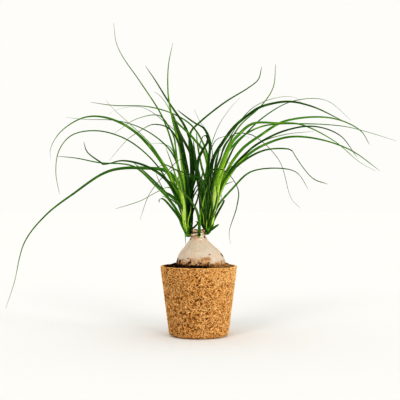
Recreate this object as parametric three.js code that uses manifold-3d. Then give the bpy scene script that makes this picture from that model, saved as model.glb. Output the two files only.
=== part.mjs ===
// Potted ponytail palm: a swollen stem base stands in soil in a coir pot, and two leafy heads and a small
// front shoot grow round the cut top of its neck. Millimetres, +Z up, origin at the centre of the pot's base.
import * as THREE from "three";
import { mergeVertices } from "three/addons/utils/BufferGeometryUtils.js";
import Module from "manifold-3d";

const wasm = await Module();
wasm.setup();

// Pot
const POT_HEIGHT = 110;
const POT_FOOT_RADIUS = 45.7;
const POT_RIM_RADIUS = 59.6;
const POT_FOOT_ROUND = 6;
const POT_FOOT_STEPS = 3;
const POT_WALL = 4;
const POT_FLOOR = 5;
const POT_SIDES = 56;
const POT_ROWS = 10;
const POT_RELIEF = 0.45;

// Clearance between pieces that touch
const GAP = 0.3;
// Finest edge kept where leaves run into each other
const SHORTEST_EDGE = 0.01;

// Soil
const SOIL_LEVEL = 108.5;
const SOIL_HEAP = 3;
const SOIL_HEAP_FROM = 0.3;
const SOIL_SIDES = 60;
const SOIL_RINGS = 5;
const SOIL_CRUMB = 0.7;
const SOIL_CRUMB_TURNS = 2;
const SOIL_CRUMB_RIPPLE = 5;

// Swollen stem base: radius and sideways drift of its centre at each height, from the buried end to the neck
const CAUDEX_SIDES = 36;
const CAUDEX_RELIEF = 0.35;
const CAUDEX_SMOOTH_BELOW = [100, 120];
const CAUDEX_SMOOTH_ABOVE = [150, 165];
const CAUDEX_STATIONS = [
  { z: 70, radius: 0, drift: 3.5 },
  { z: 71.5, radius: 14, drift: 3.5 },
  { z: 77, radius: 26, drift: 3.5 },
  { z: 86, radius: 35, drift: 3.5 },
  { z: 97, radius: 39.4, drift: 3.5 },
  { z: 106.5, radius: 40, drift: 3.5 },
  { z: 112.9, radius: 39.3, drift: 3.5 },
  { z: 118.5, radius: 37.7, drift: 3.2 },
  { z: 125.5, radius: 35.5, drift: 3.1 },
  { z: 132.5, radius: 30.7, drift: 2.2 },
  { z: 139.5, radius: 24, drift: 1.2 },
  { z: 145.2, radius: 18.6, drift: 0.2 },
  { z: 150.5, radius: 14.4, drift: -0.3 },
  { z: 154.2, radius: 12.9, drift: -0.4 },
  { z: 156.3, radius: 11.6, drift: -0.9 },
  { z: 158.2, radius: 11.6, drift: -0.9 },
  { z: 160.2, radius: 11.3, drift: -0.9 },
  { z: 161.4, radius: 10.6, drift: -0.9 },
  { z: 163.2, radius: 10.8, drift: -0.9 },
  { z: 166.4, radius: 10, drift: -0.9 },
  { z: 165.8, radius: 8.2, drift: -0.9 },
  { z: 163.6, radius: 4.5, drift: -0.9 },
  { z: 163.0, radius: 0, drift: -0.9 },
];
const BURIED_STATIONS = 6;
const OUTER_STATIONS = 20;

// Leaf sheaths at the foot of each head: where its axis stands, where it starts and its radius up the axis
const SHEATH_SIDES = 12;
const LEFT_SHEATH = { x: -16.6, y: 0, z: 154.6, radius: 6.5, height: 46 };
const RIGHT_SHEATH = { x: 12.9, y: 0, z: 158, radius: 5.1, height: 46 };
const FRONT_SHEATH = { x: 0.6, y: -13.4, z: 154.5, radius: 2, height: 20 };
const SHEATH_SHAPE = [
  [0, 0],
  [0.55, 0.02],
  [0.9, 0.07],
  [1, 0.18],
  [0.92, 0.45],
  [0.6, 0.75],
  [0.3, 0.97],
  [0, 1],
];

// Leaves
const LEAF_STEP_LENGTH = 32;
const LEAF_CLEARANCE = 0.8;
const LEAF_KEEL_SHARE = 0.2;
const LEAF_LEAST_KEEL = 0.75;
const LEAF_LEAST_WIDTH = 1.1;
const LEAF_TIP_WIDTH = 0.4;
const LEAF_LEAN_POWER = 1.4;
const LEAF_TURN = [0, 0.15];
const ROOT_OFF_MOST = 0.4;
const ROOT_OFF_SHARE = 0.03;
const INNER_LEAF_SEED = 4711;

// The leaf lines below are the leaves as they show from this point, drawn on the upright plane through the
// pot's axis. Taper 0.3 keeps a leaf's width and 1.3 narrows it early. Depth is how far behind that plane
// (or, if negative, in front of it) the tip reaches. Turn 0 leaves the blade level, 1 faces it to the point.
const VIEW_POINT = new THREE.Vector3(1.9, -1420, 213);

const LEFT_LEAVES = [
  // Long low leaf that sweeps out and down to the left
  {
    width: 5.6, taper: 1, depth: -70, turn: 0.62,
    line: [[-17, 165], [-30, 235], [-50, 258], [-80, 263], [-140, 259], [-200, 221], [-240, 190],
      [-274, 147], [-291, 81], [-304, 42]],
  },
  // Broad light leaf in front
  {
    width: 8.6, taper: 1.2, depth: -110, turn: 0.7,
    line: [[-20, 165], [-25, 200], [-38, 235], [-60, 275], [-100, 320], [-143, 342], [-180, 343],
      [-218, 320], [-234, 292], [-233, 277]],
  },
  {
    width: 4.4, taper: 0.9, depth: 70, turn: 0.62,
    line: [[-16, 165], [-22, 210], [-36, 275], [-54, 301], [-90, 326], [-130, 338], [-180, 340],
      [-209, 343]],
  },
  {
    width: 3.6, taper: 1, depth: -30, turn: 0.6,
    line: [[-18, 165], [-30, 205], [-48, 241], [-75, 278], [-115, 309], [-160, 322], [-200, 315],
      [-220, 291], [-225, 256], [-219, 222]],
  },
  {
    width: 4.8, taper: 0.8, depth: 100, turn: 0.64,
    line: [[-18, 163], [-40, 205], [-70, 238], [-103, 266], [-158, 272], [-193, 279], [-224, 282]],
  },
  // Kinked dark leaf
  {
    width: 5.6, taper: 0.6, depth: -140, turn: 0.66,
    line: [[-18, 165], [-25, 190], [-48, 241], [-80, 265], [-120, 275], [-143, 270], [-150, 269],
      [-154, 272], [-176, 289], [-181, 305]],
  },
  {
    width: 5, taper: 0.5, depth: -190, turn: 0.7,
    line: [[-17, 165], [-26, 201], [-52, 225], [-85, 257], [-103, 272]],
  },
  // Short leaf with a curled tip
  {
    width: 4.6, taper: 0.2, depth: -55, turn: 0.66,
    line: [[-20, 163], [-31, 185], [-48, 207], [-55, 214], [-60, 216], [-63, 213], [-62, 209]],
  },
  // Tallest leaf
  {
    width: 4.4, taper: 0.8, depth: 120, turn: 0.7,
    line: [[-16, 165], [-25, 230], [-38, 287], [-57, 343], [-93, 400], [-120, 439], [-130, 461],
      [-134, 492]],
  },
  {
    width: 5, taper: 0.7, depth: -70, turn: 0.74,
    line: [[-15, 165], [-20, 220], [-39, 331], [-48, 377], [-48, 423], [-41, 460]],
  },
  {
    width: 2.8, taper: 0.5, depth: 150, turn: 0.66,
    line: [[-14, 167], [-17.5, 240], [-27, 295], [-47, 357], [-60, 376], [-71, 384]],
  },
  {
    width: 2.8, taper: 0.8, depth: 170, turn: 0.66,
    line: [[-16, 165], [-30, 215], [-48, 255], [-75, 300], [-110, 334], [-130, 352], [-146, 369]],
  },
  {
    width: 2.4, taper: 1, depth: 195, turn: 0.68,
    line: [[-15, 165], [-18, 250], [-30, 311], [-55, 337], [-90, 359], [-130, 355], [-142, 348]],
  },
  {
    width: 3.2, taper: 0.5, depth: -130, turn: 0.66,
    line: [[-17, 165], [-26, 250], [-39, 318], [-62, 346], [-100, 340], [-134, 317]],
  },
  {
    width: 3.4, taper: 0.9, depth: -170, turn: 0.66,
    line: [[-16, 165], [-20, 240], [-30, 307], [-52, 328], [-85, 327], [-120, 302], [-141, 275]],
  },
  {
    width: 3.4, taper: 0.4, depth: 150, turn: 0.7,
    line: [[-18, 165], [-30, 215], [-47, 233], [-64, 227], [-92, 212], [-132, 199]],
  },
  {
    width: 3.2, taper: 0.8, depth: -195, turn: 0.74,
    line: [[-14, 165], [-15, 230], [-21, 272], [-26, 278], [-33, 275], [-60, 246], [-78, 222],
      [-93, 181]],
  },
  {
    width: 2.6, taper: 0.6, depth: 110, turn: 0.7,
    line: [[-18, 165], [-35, 198], [-57, 232], [-64, 246], [-68, 257]],
  },
  // Light strips beside the broad leaf
  {
    width: 6, taper: 0.6, depth: -50, turn: 0.76,
    line: [[-19, 165], [-25, 230], [-34, 274], [-39, 296], [-44, 308]],
  },
  {
    width: 5.6, taper: 0.5, depth: -85, turn: 0.78,
    line: [[-18, 165], [-23.8, 230], [-28.5, 280], [-31, 293]],
  },
  // Dark broad upright leaves
  {
    width: 7.9, taper: 0.35, depth: -25, turn: 0.78,
    line: [[-15, 165], [-15.6, 219], [-17, 254], [-23.5, 286], [-31, 309], [-40, 338]],
  },
  {
    width: 7.4, taper: 0.45, depth: 38, turn: 0.78,
    line: [[-13, 167], [-14.5, 199], [-13, 226], [-11, 245], [-9, 258], [-11, 285], [-17, 318]],
  },
  {
    width: 4.6, taper: 0.4, depth: 60, turn: 0.68,
    line: [[-14, 165], [-12, 260], [-13, 319], [0, 334], [40, 366], [80, 391], [94, 403], [99, 423]],
  },
  // Dark leaf with a folded tip
  {
    width: 6, taper: 0.35, depth: -70, turn: 0.78,
    line: [[-12.5, 167], [-13.5, 200], [-11.5, 228], [-4, 254], [0, 279], [7, 293], [14, 305], [14, 312],
      [9, 316], [3, 306], [0, 290]],
  },
  {
    width: 3.6, taper: 0.3, depth: -10, turn: 0.82,
    line: [[-12, 167], [-8.5, 169], [-4.5, 173], [-1.2, 177], [-2.5, 178.6], [-6, 179.8]],
  },
  {
    width: 5, taper: 0.8, depth: -120, turn: 0.74,
    line: [[-19, 165], [-27, 215], [-40, 262], [-52, 296]],
  },
  {
    width: 4.6, taper: 0.7, depth: 160, turn: 0.74,
    line: [[-17, 165], [-24, 230], [-38, 290], [-50, 312], [-72, 316]],
  },
  {
    width: 5, taper: 0.6, depth: 200, turn: 0.76,
    line: [[-15, 165], [-14, 240], [-20, 290], [-30, 306], [-41, 296]],
  },
  {
    width: 5.4, taper: 0.6, depth: -150, turn: 0.76,
    line: [[-17, 165], [-23, 215], [-28.5, 250], [-38, 262], [-50, 252]],
  },
  // Leaves that arch straight back and hang down behind the head
  {
    width: 4.2, taper: 0.6, depth: 235, turn: 0.5,
    line: [[-15, 165], [-15, 235], [-18, 268], [-22, 262], [-26, 240], [-27, 215]],
  },
  {
    width: 4, taper: 0.6, depth: 215, turn: 0.5,
    line: [[-14, 165], [-11, 225], [-10, 250], [-12, 245], [-13, 225], [-13, 200]],
  },
  {
    width: 5, taper: 0.6, depth: 240, turn: 0.78,
    line: [[-17, 165], [-24, 225], [-29, 252], [-33, 246], [-36, 226], [-37, 205]],
  },
  // Dark leaves that cross the gap between the heads
  {
    width: 3.4, taper: 0.5, depth: -45, turn: 0.78,
    line: [[-11.5, 166], [-11, 188], [-7, 201], [-2.8, 212], [0, 224], [3, 242], [6, 258]],
  },
  {
    width: 3.2, taper: 0.5, depth: -80, turn: 0.78,
    line: [[-12, 166], [-13, 192], [-12, 206], [-9, 217], [-3, 228], [5, 239], [13, 252]],
  },
  // Bright leaves in front of the bulb
  {
    width: 5.6, taper: 0.45, depth: -125, turn: 0.8,
    line: [[-20.5, 163], [-21.8, 172], [-22.3, 183], [-22.6, 195], [-23.2, 206], [-25, 218], [-28, 234]],
  },
];

const RIGHT_LEAVES = [
  // Longest leaf on the right
  {
    width: 5, taper: 1, depth: -20, turn: 0.62,
    line: [[15, 166], [24, 230], [35, 270], [64, 309], [100, 329], [163, 333], [228, 329], [262, 321],
      [311, 306]],
  },
  // Broad light leaf in front
  {
    width: 8, taper: 1.3, depth: -80, turn: 0.7,
    line: [[16, 166], [26, 205], [31, 252], [51, 302], [84, 333], [124, 334], [160, 332], [213, 306],
      [254, 272], [278, 259]],
  },
  {
    width: 7, taper: 0.5, depth: -50, turn: 0.7,
    line: [[14, 166], [16, 240], [28.5, 291], [57, 331], [96, 359], [140, 368], [179, 360], [226, 338]],
  },
  {
    width: 4.8, taper: 1.1, depth: 50, turn: 0.64,
    line: [[15, 166], [26, 225], [43, 263], [63, 300], [100, 341], [146, 368], [200, 370], [240, 338]],
  },
  {
    width: 5.4, taper: 0.5, depth: 90, turn: 0.62,
    line: [[16, 166], [32, 235], [52, 273], [96, 314], [135, 337], [209, 342], [255, 322], [269, 300]],
  },
  {
    width: 4.8, taper: 0.45, depth: -130, turn: 0.64,
    line: [[16, 166], [32, 235], [52, 267], [89, 300], [132, 321], [180, 329], [222, 315], [250, 279]],
  },
  {
    width: 3.6, taper: 0.6, depth: 140, turn: 0.64,
    line: [[16, 166], [34, 235], [54, 266], [96, 303], [135, 316], [180, 321]],
  },
  {
    width: 7, taper: 0.7, depth: -100, turn: 0.7,
    line: [[17, 166], [35, 232], [57, 266], [96, 296], [140, 312], [188, 309], [240, 291], [285, 259]],
  },
  // Kinked leaf
  {
    width: 4.6, taper: 0.35, depth: -165, turn: 0.68,
    line: [[16, 166], [38, 240], [62, 268], [102, 291], [140, 293.5], [147, 291], [153, 281], [180, 247],
      [203, 238]],
  },
  {
    width: 4, taper: 0.4, depth: -140, turn: 0.64,
    line: [[17, 166], [28, 200], [54, 232], [81, 257], [129, 263], [155, 256], [173, 229]],
  },
  {
    width: 3.4, taper: 0.5, depth: 130, turn: 0.68,
    line: [[14, 166], [28, 250], [61, 325], [99, 362], [117, 390], [121, 427]],
  },
  {
    width: 4, taper: 0.45, depth: 185, turn: 0.72,
    line: [[13, 166], [20, 230], [36, 288], [56, 318], [89, 313], [127, 275], [146, 215], [160, 200]],
  },
  // Leaf that arches over the front and hangs down
  {
    width: 4.6, taper: 0.9, depth: -190, turn: 0.74,
    line: [[10, 166], [6, 200], [10, 235], [15, 256], [27, 262], [43, 258], [62, 230], [60, 203],
      [48, 163], [50, 144]],
  },
  {
    width: 2.6, taper: 0.7, depth: 200, turn: 0.7,
    line: [[13, 166], [22, 230], [38, 290], [80, 354], [118, 373], [152, 374], [168, 358]],
  },
  {
    width: 6.4, taper: 0.6, depth: 70, turn: 0.74,
    line: [[12, 166], [0, 240], [-7, 294], [-22, 329], [-46, 365], [-69, 402], [-84, 424]],
  },
  {
    width: 3.8, taper: 0.4, depth: 120, turn: 0.66,
    line: [[12, 166], [17, 265], [10, 295], [-10, 329], [-39, 348], [-80, 360], [-135, 362], [-171, 367]],
  },
  {
    width: 4.4, taper: 0.4, depth: -110, turn: 0.74,
    line: [[12, 166], [15, 265], [17, 305], [7, 328], [-8, 336], [-34, 355]],
  },
  {
    width: 2.4, taper: 0.8, depth: 110, turn: 0.74,
    line: [[14, 166], [22, 270], [16, 315], [1, 338], [-7, 355]],
  },
  {
    width: 2.2, taper: 1.1, depth: 180, turn: 0.7,
    line: [[12, 166], [10, 250], [28, 323], [50, 358], [65, 374]],
  },
  {
    width: 2.6, taper: 0.8, depth: 165, turn: 0.7,
    line: [[13, 166], [12, 260], [26, 306], [40, 313], [66, 314], [94, 307]],
  },
  // Leaf that crosses in front to the left
  {
    width: 3.8, taper: 0.5, depth: -200, turn: 0.68,
    line: [[11, 166], [12, 215], [8, 242], [-15, 254], [-35, 260], [-54, 269], [-66, 264]],
  },
  {
    width: 5.2, taper: 0.5, depth: 20, turn: 0.78,
    line: [[11, 166], [12, 238], [5, 263], [-2, 300], [-4, 322]],
  },
  { width: 5.2, taper: 0.5, depth: -40, turn: 0.78, line: [[13, 166], [11, 243], [15, 263], [17, 296]] },
  // Short low leaf at the foot
  {
    width: 4.8, taper: 0.25, depth: -16, turn: 0.9,
    line: [[14, 162], [20, 166.5], [26, 171], [32, 175]],
  },
  // Short kinked leaf
  {
    width: 4, taper: 0.3, depth: -45, turn: 0.9,
    line: [[15, 164], [24, 182], [32, 197], [39, 209.5], [40, 212.5], [37.5, 213.5], [30, 213.5]],
  },
  {
    width: 2.6, taper: 0.8, depth: 150, turn: 0.72,
    line: [[14, 166], [20, 225], [34, 262], [50, 272], [73, 260]],
  },
  {
    width: 6.4, taper: 0.6, depth: -120, turn: 0.76,
    line: [[15, 166], [21, 205], [25, 240], [34, 262], [47, 270]],
  },
  {
    width: 5.6, taper: 0.6, depth: 60, turn: 0.76,
    line: [[13, 166], [15, 230], [27, 281], [44, 312], [66, 330]],
  },
  {
    width: 5.4, taper: 0.6, depth: -160, turn: 0.76,
    line: [[12, 166], [10, 205], [8, 235], [4, 246], [-3, 240]],
  },
  {
    width: 5, taper: 0.6, depth: 205, turn: 0.76,
    line: [[14, 166], [22, 235], [28, 285], [36, 300], [46, 292]],
  },
  // Leaves that arch straight back and hang down behind the head
  {
    width: 4.2, taper: 0.6, depth: 240, turn: 0.5,
    line: [[14, 166], [17, 235], [19, 262], [22, 256], [25, 236], [25, 208]],
  },
  {
    width: 3.8, taper: 0.6, depth: 230, turn: 0.5,
    line: [[12, 166], [9, 220], [7, 240], [5, 236], [3, 222], [3, 200]],
  },
  // Dark leaves that fill the gap between the heads
  {
    width: 5, taper: 0.5, depth: -60, turn: 0.78,
    line: [[9, 166], [5, 195], [3, 225], [4, 245], [8, 262]],
  },
  {
    width: 5.4, taper: 0.6, depth: 45, turn: 0.78,
    line: [[9, 166], [5.6, 173], [3.8, 186], [2.6, 205], [1.4, 220], [-0.5, 240], [-6, 262], [-10, 285]],
  },
  {
    width: 4.6, taper: 0.6, depth: -90, turn: 0.76,
    line: [[11, 166], [8, 200], [7, 230], [2, 255], [-6, 275], [-14, 290]],
  },
  {
    width: 6, taper: 0.5, depth: 60, turn: 0.78,
    line: [[12, 166], [12, 200], [13, 235], [18, 262], [22, 285]],
  },
  {
    width: 5.6, taper: 0.5, depth: -30, turn: 0.76,
    line: [[13, 166], [18, 200], [22.5, 235], [27, 268], [33, 296]],
  },
  // Dark leaves over the roots of the light ones
  {
    width: 4.4, taper: 0.5, depth: -125, turn: 0.9,
    line: [[16, 166], [20, 185], [25.5, 202], [28.5, 215], [30.5, 226]],
  },
  {
    width: 5.2, taper: 0.5, depth: -120, turn: 0.9,
    line: [[14, 166], [17, 195], [19.5, 222], [23, 240], [26, 250]],
  },
  {
    width: 5, taper: 0.5, depth: -70, turn: 0.9,
    line: [[9, 163], [6, 168.5], [4.6, 177], [3.8, 189], [3.2, 201], [2.6, 212], [0.5, 224], [-2, 240]],
  },
  // Bright leaves in front
  {
    width: 8.6, taper: 0.6, depth: -110, turn: 0.85,
    line: [[16, 166], [25, 203], [29.5, 226], [31.5, 240], [35.5, 254], [43, 272]],
  },
];

const FRONT_LEAVES = [
  // Narrow leaf that crosses the gap between the heads
  {
    width: 4.6, taper: 0.5, depth: -150, turn: 0.9,
    line: [[0.6, 157], [0.4, 180], [-4, 198], [-9, 206.5], [-15, 215.5], [-22, 222.5], [-32, 233]],
  },
  { width: 4.4, taper: 0.6, depth: -60, turn: 0.78, line: [[0.6, 157], [2, 185], [8, 215], [14, 236]] },
];

// Short upright leaves that fill the middle of a head, set round it by the golden angle
const GOLDEN_ANGLE = THREE.MathUtils.degToRad(137.5);
const INNER_SHARES = [0, 0.25, 0.5, 0.75, 1];
const INNER_REACH = [25, 70];
const INNER_RISE = [45, 95];
const INNER_START = [12, 28];
const INNER_WIDTH = [4.6, 7];
const INNER_TAPER = 0.7;
const INNER_TURN = [0.2, 0.8];
const INNER_ACROSS = 0.55;
const INNER_DEEP = 1.25;
const INNER_LEAN_POWER = 1.7;
const INNER_RISE_POWER = 1.5;
const LEFT_INNER = { count: 11, sideways: -0.25, first: 0.4 };
const RIGHT_INNER = { count: 11, sideways: 0.25, first: 1.1 };

const PLANT_GREEN = new THREE.MeshStandardMaterial({ color: 0x3f7d22, roughness: 0.5, metalness: 0 });
const COIR_TAN = new THREE.MeshStandardMaterial({ color: 0xb98645, roughness: 0.95, metalness: 0 });
const SOIL_BROWN = new THREE.MeshStandardMaterial({ color: 0x2a1d14, roughness: 1, metalness: 0 });
const BARK_BEIGE = new THREE.MeshStandardMaterial({ color: 0xcdb497, roughness: 0.85, metalness: 0 });

// Seeded random numbers from 0 to 1
function seededRandom(seed) {
  let state = seed;
  return () => {
    state = (state + 0x6d2b79f5) >>> 0;
    let t = Math.imul(state ^ (state >>> 15), 1 | state);
    t = (t + Math.imul(t ^ (t >>> 7), 61 | t)) ^ t;
    return ((t ^ (t >>> 14)) >>> 0) / 4294967296;
  };
}

function smoothStep(from, to, value) {
  const t = Math.min(1, Math.max(0, (value - from) / (to - from)));
  return t * t * (3 - 2 * t);
}

// Solid of a closed geometry
function solidOf(geometry) {
  const bare = geometry.clone();
  bare.deleteAttribute("normal");
  bare.deleteAttribute("uv");
  const merged = mergeVertices(bare, 1e-4);
  return new wasm.Manifold(
    new wasm.Mesh({
      numProp: 3,
      vertProperties: merged.attributes.position.array,
      triVerts: new Uint32Array(merged.index.array),
    }),
  );
}

function geometryOf(solid) {
  const mesh = solid.getMesh();
  const geometry = new THREE.BufferGeometry();
  geometry.setAttribute("position", new THREE.BufferAttribute(new Float32Array(mesh.vertProperties), 3));
  geometry.setIndex(new THREE.BufferAttribute(new Uint32Array(mesh.triVerts), 1));
  geometry.computeVertexNormals();
  return geometry;
}

function namedMesh(name, geometry, material) {
  const mesh = new THREE.Mesh(geometry, material);
  mesh.name = name;
  return mesh;
}

// Turned solid about the Z axis from [radius, z] points, whose vertices are then moved by a rule
function turned(profile, sides, move) {
  const points = profile.map(([radius, z]) => new THREE.Vector2(radius, z));
  const geometry = new THREE.LatheGeometry(points, sides);
  geometry.rotateX(Math.PI / 2);
  const position = geometry.attributes.position;
  const place = new THREE.Vector3();
  for (let i = 0; i < position.count; i += 1) {
    place.fromBufferAttribute(position, i);
    if (move) {
      move(place);
    }
    position.setXYZ(i, place.x, place.y, place.z);
  }
  return geometry;
}

// Low waves round and up a surface
function waves(angle, z) {
  return (
    0.5 * Math.sin(7 * angle + 0.19 * z) +
    0.3 * Math.sin(13 * angle - 0.31 * z + 1.3) +
    0.2 * Math.sin(19 * angle + 0.47 * z + 4)
  );
}

function potRadius(z) {
  return POT_FOOT_RADIUS + ((POT_RIM_RADIUS - POT_FOOT_RADIUS) * z) / POT_HEIGHT;
}

function potInnerRadius(z) {
  return potRadius(z) - POT_WALL;
}

function coirPot() {
  const profile = [[0, 0]];
  for (let i = 0; i <= POT_FOOT_STEPS; i += 1) {
    const turn = (Math.PI / 2) * (i / POT_FOOT_STEPS);
    profile.push([
      potRadius(0) - POT_FOOT_ROUND * (1 - Math.sin(turn)),
      POT_FOOT_ROUND * (1 - Math.cos(turn)),
    ]);
  }
  for (let i = 1; i <= POT_ROWS; i += 1) {
    const z = POT_FOOT_ROUND + ((POT_HEIGHT - POT_FOOT_ROUND) * i) / POT_ROWS;
    profile.push([potRadius(z), z]);
  }
  profile.push([potInnerRadius(POT_HEIGHT), POT_HEIGHT]);
  profile.push([potInnerRadius(POT_FLOOR), POT_FLOOR]);
  profile.push([0, POT_FLOOR]);
  return turned(profile, POT_SIDES, (place) => {
    const radius = Math.hypot(place.x, place.y);
    const isOutside = place.z > POT_FOOT_ROUND / 2 && radius > potInnerRadius(place.z) + POT_WALL / 2;
    if (isOutside) {
      const grown = 1 + (POT_RELIEF * waves(Math.atan2(place.y, place.x), place.z)) / radius;
      place.x *= grown;
      place.y *= grown;
    }
  });
}

function caudexWaves(angle, z) {
  return CAUDEX_RELIEF * (Math.sin(3 * angle + 0.05 * z) + 0.6 * Math.sin(5 * angle - 0.11 * z + 2));
}

// Stem base, or the hollow that it stands in when it is given room all round
function stemBase(stations, room) {
  const profile = stations.map(({ z, radius }) => [radius, z]);
  return turned(profile, CAUDEX_SIDES, (place) => {
    const radius = Math.hypot(place.x, place.y);
    const { drift } = stations.find((at) => Math.hypot(at.z - place.z, at.radius - radius) < 0.01);
    if (radius > 1) {
      const low = smoothStep(...CAUDEX_SMOOTH_BELOW, place.z);
      const high = 1 - smoothStep(...CAUDEX_SMOOTH_ABOVE, place.z);
      const relief = low * high * caudexWaves(Math.atan2(place.y, place.x), place.z);
      const grown = 1 + (room + relief) / radius;
      place.x *= grown;
      place.y *= grown;
    }
    place.x += drift;
  });
}

function pottingSoil() {
  const buried = CAUDEX_STATIONS.slice(0, BURIED_STATIONS);
  const rim = potInnerRadius(SOIL_LEVEL) - GAP;
  const edge = buried[BURIED_STATIONS - 1].radius + GAP;
  const hollow = buried.map(({ z, radius }) => [radius ? radius + GAP : 0, z - GAP]);
  const surface = [];
  for (let i = 0; i <= SOIL_RINGS; i += 1) {
    surface.push([edge + ((rim - edge) * i) / SOIL_RINGS, SOIL_LEVEL]);
  }
  const low = POT_FLOOR + GAP;
  const foot = potInnerRadius(low) - GAP;
  const profile = [[0, low], [foot, low], ...surface.reverse(), ...hollow.reverse()];
  return turned(profile, SOIL_SIDES, (place) => {
    const radius = Math.hypot(place.x, place.y);
    const angle = Math.atan2(place.y, place.x);
    const isSurface = place.z > SOIL_LEVEL - GAP;
    const inHollow = place.z > low + 1 && !isSurface;
    const share = inHollow ? 1 : (rim - radius) / (rim - edge);
    if (isSurface) {
      place.z += SOIL_HEAP * smoothStep(SOIL_HEAP_FROM, 1, share);
      place.z += SOIL_CRUMB * waves(angle * SOIL_CRUMB_TURNS, radius * SOIL_CRUMB_RIPPLE);
    }
    if (isSurface || inHollow) {
      place.x += buried[0].drift * share;
    }
  });
}

// Curve of a leaf in space: each point of its line moves along the line of sight to its depth
function leafCurve(leaf, sheath) {
  const off = Math.min(ROOT_OFF_MOST * sheath.radius, Math.abs(leaf.depth) * ROOT_OFF_SHARE);
  const rootY = sheath.y + Math.sign(leaf.depth) * off;
  const last = leaf.line.length - 1;
  const lengths = [0];
  for (let i = 1; i <= last; i += 1) {
    const [x0, z0] = leaf.line[i - 1];
    const [x1, z1] = leaf.line[i];
    lengths.push(lengths[i - 1] + Math.hypot(x1 - x0, z1 - z0));
  }
  const points = leaf.line.map(([x, z], i) => {
    const y = rootY + leaf.depth * Math.pow(lengths[i] / lengths[last], LEAF_LEAN_POWER);
    const scale = 1 + y / -VIEW_POINT.y;
    const across = VIEW_POINT.x + (x - VIEW_POINT.x) * scale;
    const up = VIEW_POINT.z + (z - VIEW_POINT.z) * scale;
    return new THREE.Vector3(across, y, up);
  });
  return new THREE.CatmullRomCurve3(points, false, "centripetal");
}

// Inner leaf of a head, which rises steeply and leans out on its own side
function innerLeaf(sheath, rule, index, random) {
  const angle = rule.first + index * GOLDEN_ANGLE;
  const between = ([low, high]) => low + (high - low) * random();
  const reach = between(INNER_REACH);
  const rise = between(INNER_RISE);
  const start = sheath.z + between(INNER_START);
  const points = INNER_SHARES.map((share) => {
    const out = reach * Math.pow(share, INNER_LEAN_POWER);
    return new THREE.Vector3(
      sheath.x + Math.cos(angle) * out * INNER_ACROSS + rule.sideways * rise * share * share,
      sheath.y + Math.sin(angle) * out * INNER_DEEP,
      start + rise * (1 - Math.pow(1 - share, INNER_RISE_POWER)),
    );
  });
  const curve = new THREE.CatmullRomCurve3(points, false, "centripetal");
  return { curve, width: between(INNER_WIDTH), taper: INNER_TAPER, turn: between(INNER_TURN) };
}

function leafWidth(leaf, share) {
  const width = LEAF_TIP_WIDTH + (leaf.width - LEAF_TIP_WIDTH) * Math.pow(1 - share, leaf.taper);
  return Math.max(LEAF_LEAST_WIDTH, width);
}

// Stations along a leaf: centre, half width across, keel depth below, and the directions of both
function leafStations(curve, leaf) {
  const steps = Math.max(curve.points.length, Math.round(curve.getLength() / LEAF_STEP_LENGTH));
  const start = curve.getPointAt(0);
  const end = curve.getPointAt(1);
  const heading = Math.atan2(end.y - start.y, end.x - start.x);
  const facing = (heading < 0 ? -Math.PI / 2 : Math.PI / 2) - heading;
  const side = new THREE.Vector3(-Math.sin(heading), Math.cos(heading), 0);
  const stations = [];
  for (let i = 0; i <= steps; i += 1) {
    const share = i / steps;
    const forward = curve.getTangentAt(share);
    side.addScaledVector(forward, -side.dot(forward)).normalize();
    const turn = leaf.turn * facing * smoothStep(...LEAF_TURN, share);
    const across = side.clone().applyAxisAngle(forward, turn);
    const wide = leafWidth(leaf, share);
    stations.push({
      centre: curve.getPointAt(share),
      across,
      face: forward.clone().cross(across),
      half: wide / 2,
      keel: Math.max(LEAF_LEAST_KEEL, wide * LEAF_KEEL_SHARE),
    });
  }
  return stations;
}

// Strap leaf with a flat upper face and a keel below
function leafGeometry(stations) {
  const corners = [];
  for (const { centre, across, face, half, keel } of stations) {
    corners.push(
      centre.clone().addScaledVector(across, half),
      centre.clone().addScaledVector(across, -half),
      centre.clone().addScaledVector(face, -keel),
    );
  }
  const faces = [0, 2, 1];
  const last = (stations.length - 1) * 3;
  faces.push(last, last + 1, last + 2);
  for (let i = 0; i < last; i += 3) {
    for (let k = 0; k < 3; k += 1) {
      const next = (k + 1) % 3;
      faces.push(i + k, i + next, i + 3 + next, i + k, i + 3 + next, i + 3 + k);
    }
  }
  const geometry = new THREE.BufferGeometry().setFromPoints(corners);
  geometry.setIndex(faces);
  return geometry;
}

// Nearest distance between two straight stretches
function stretchDistance(a, b, c, d) {
  const u = b.clone().sub(a);
  const v = d.clone().sub(c);
  const w = a.clone().sub(c);
  const uu = u.dot(u);
  const uv = u.dot(v);
  const vv = v.dot(v);
  const uw = u.dot(w);
  const vw = v.dot(w);
  const spread = uu * vv - uv * uv;
  let s = spread > 1e-9 ? (uv * vw - vv * uw) / spread : 0;
  s = Math.min(1, Math.max(0, s));
  let t = (uv * s + vw) / vv;
  t = Math.min(1, Math.max(0, t));
  s = Math.min(1, Math.max(0, (uv * t - uw) / uu));
  return a.clone().addScaledVector(u, s).distanceTo(c.clone().addScaledVector(v, t));
}

function isClear(stations, others) {
  for (const other of others) {
    for (let i = 1; i < stations.length; i += 1) {
      for (let k = 1; k < other.length; k += 1) {
        const room = stations[i - 1].half + other[k - 1].half + LEAF_CLEARANCE;
        const away = stretchDistance(
          stations[i - 1].centre,
          stations[i].centre,
          other[k - 1].centre,
          other[k].centre,
        );
        if (away < room) {
          return false;
        }
      }
    }
  }
  return true;
}

function sheathStations(sheath) {
  return SHEATH_SHAPE.map(([radius, rise]) => ({
    centre: new THREE.Vector3(sheath.x, sheath.y, sheath.z + rise * sheath.height),
    half: radius * sheath.radius,
  }));
}

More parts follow.
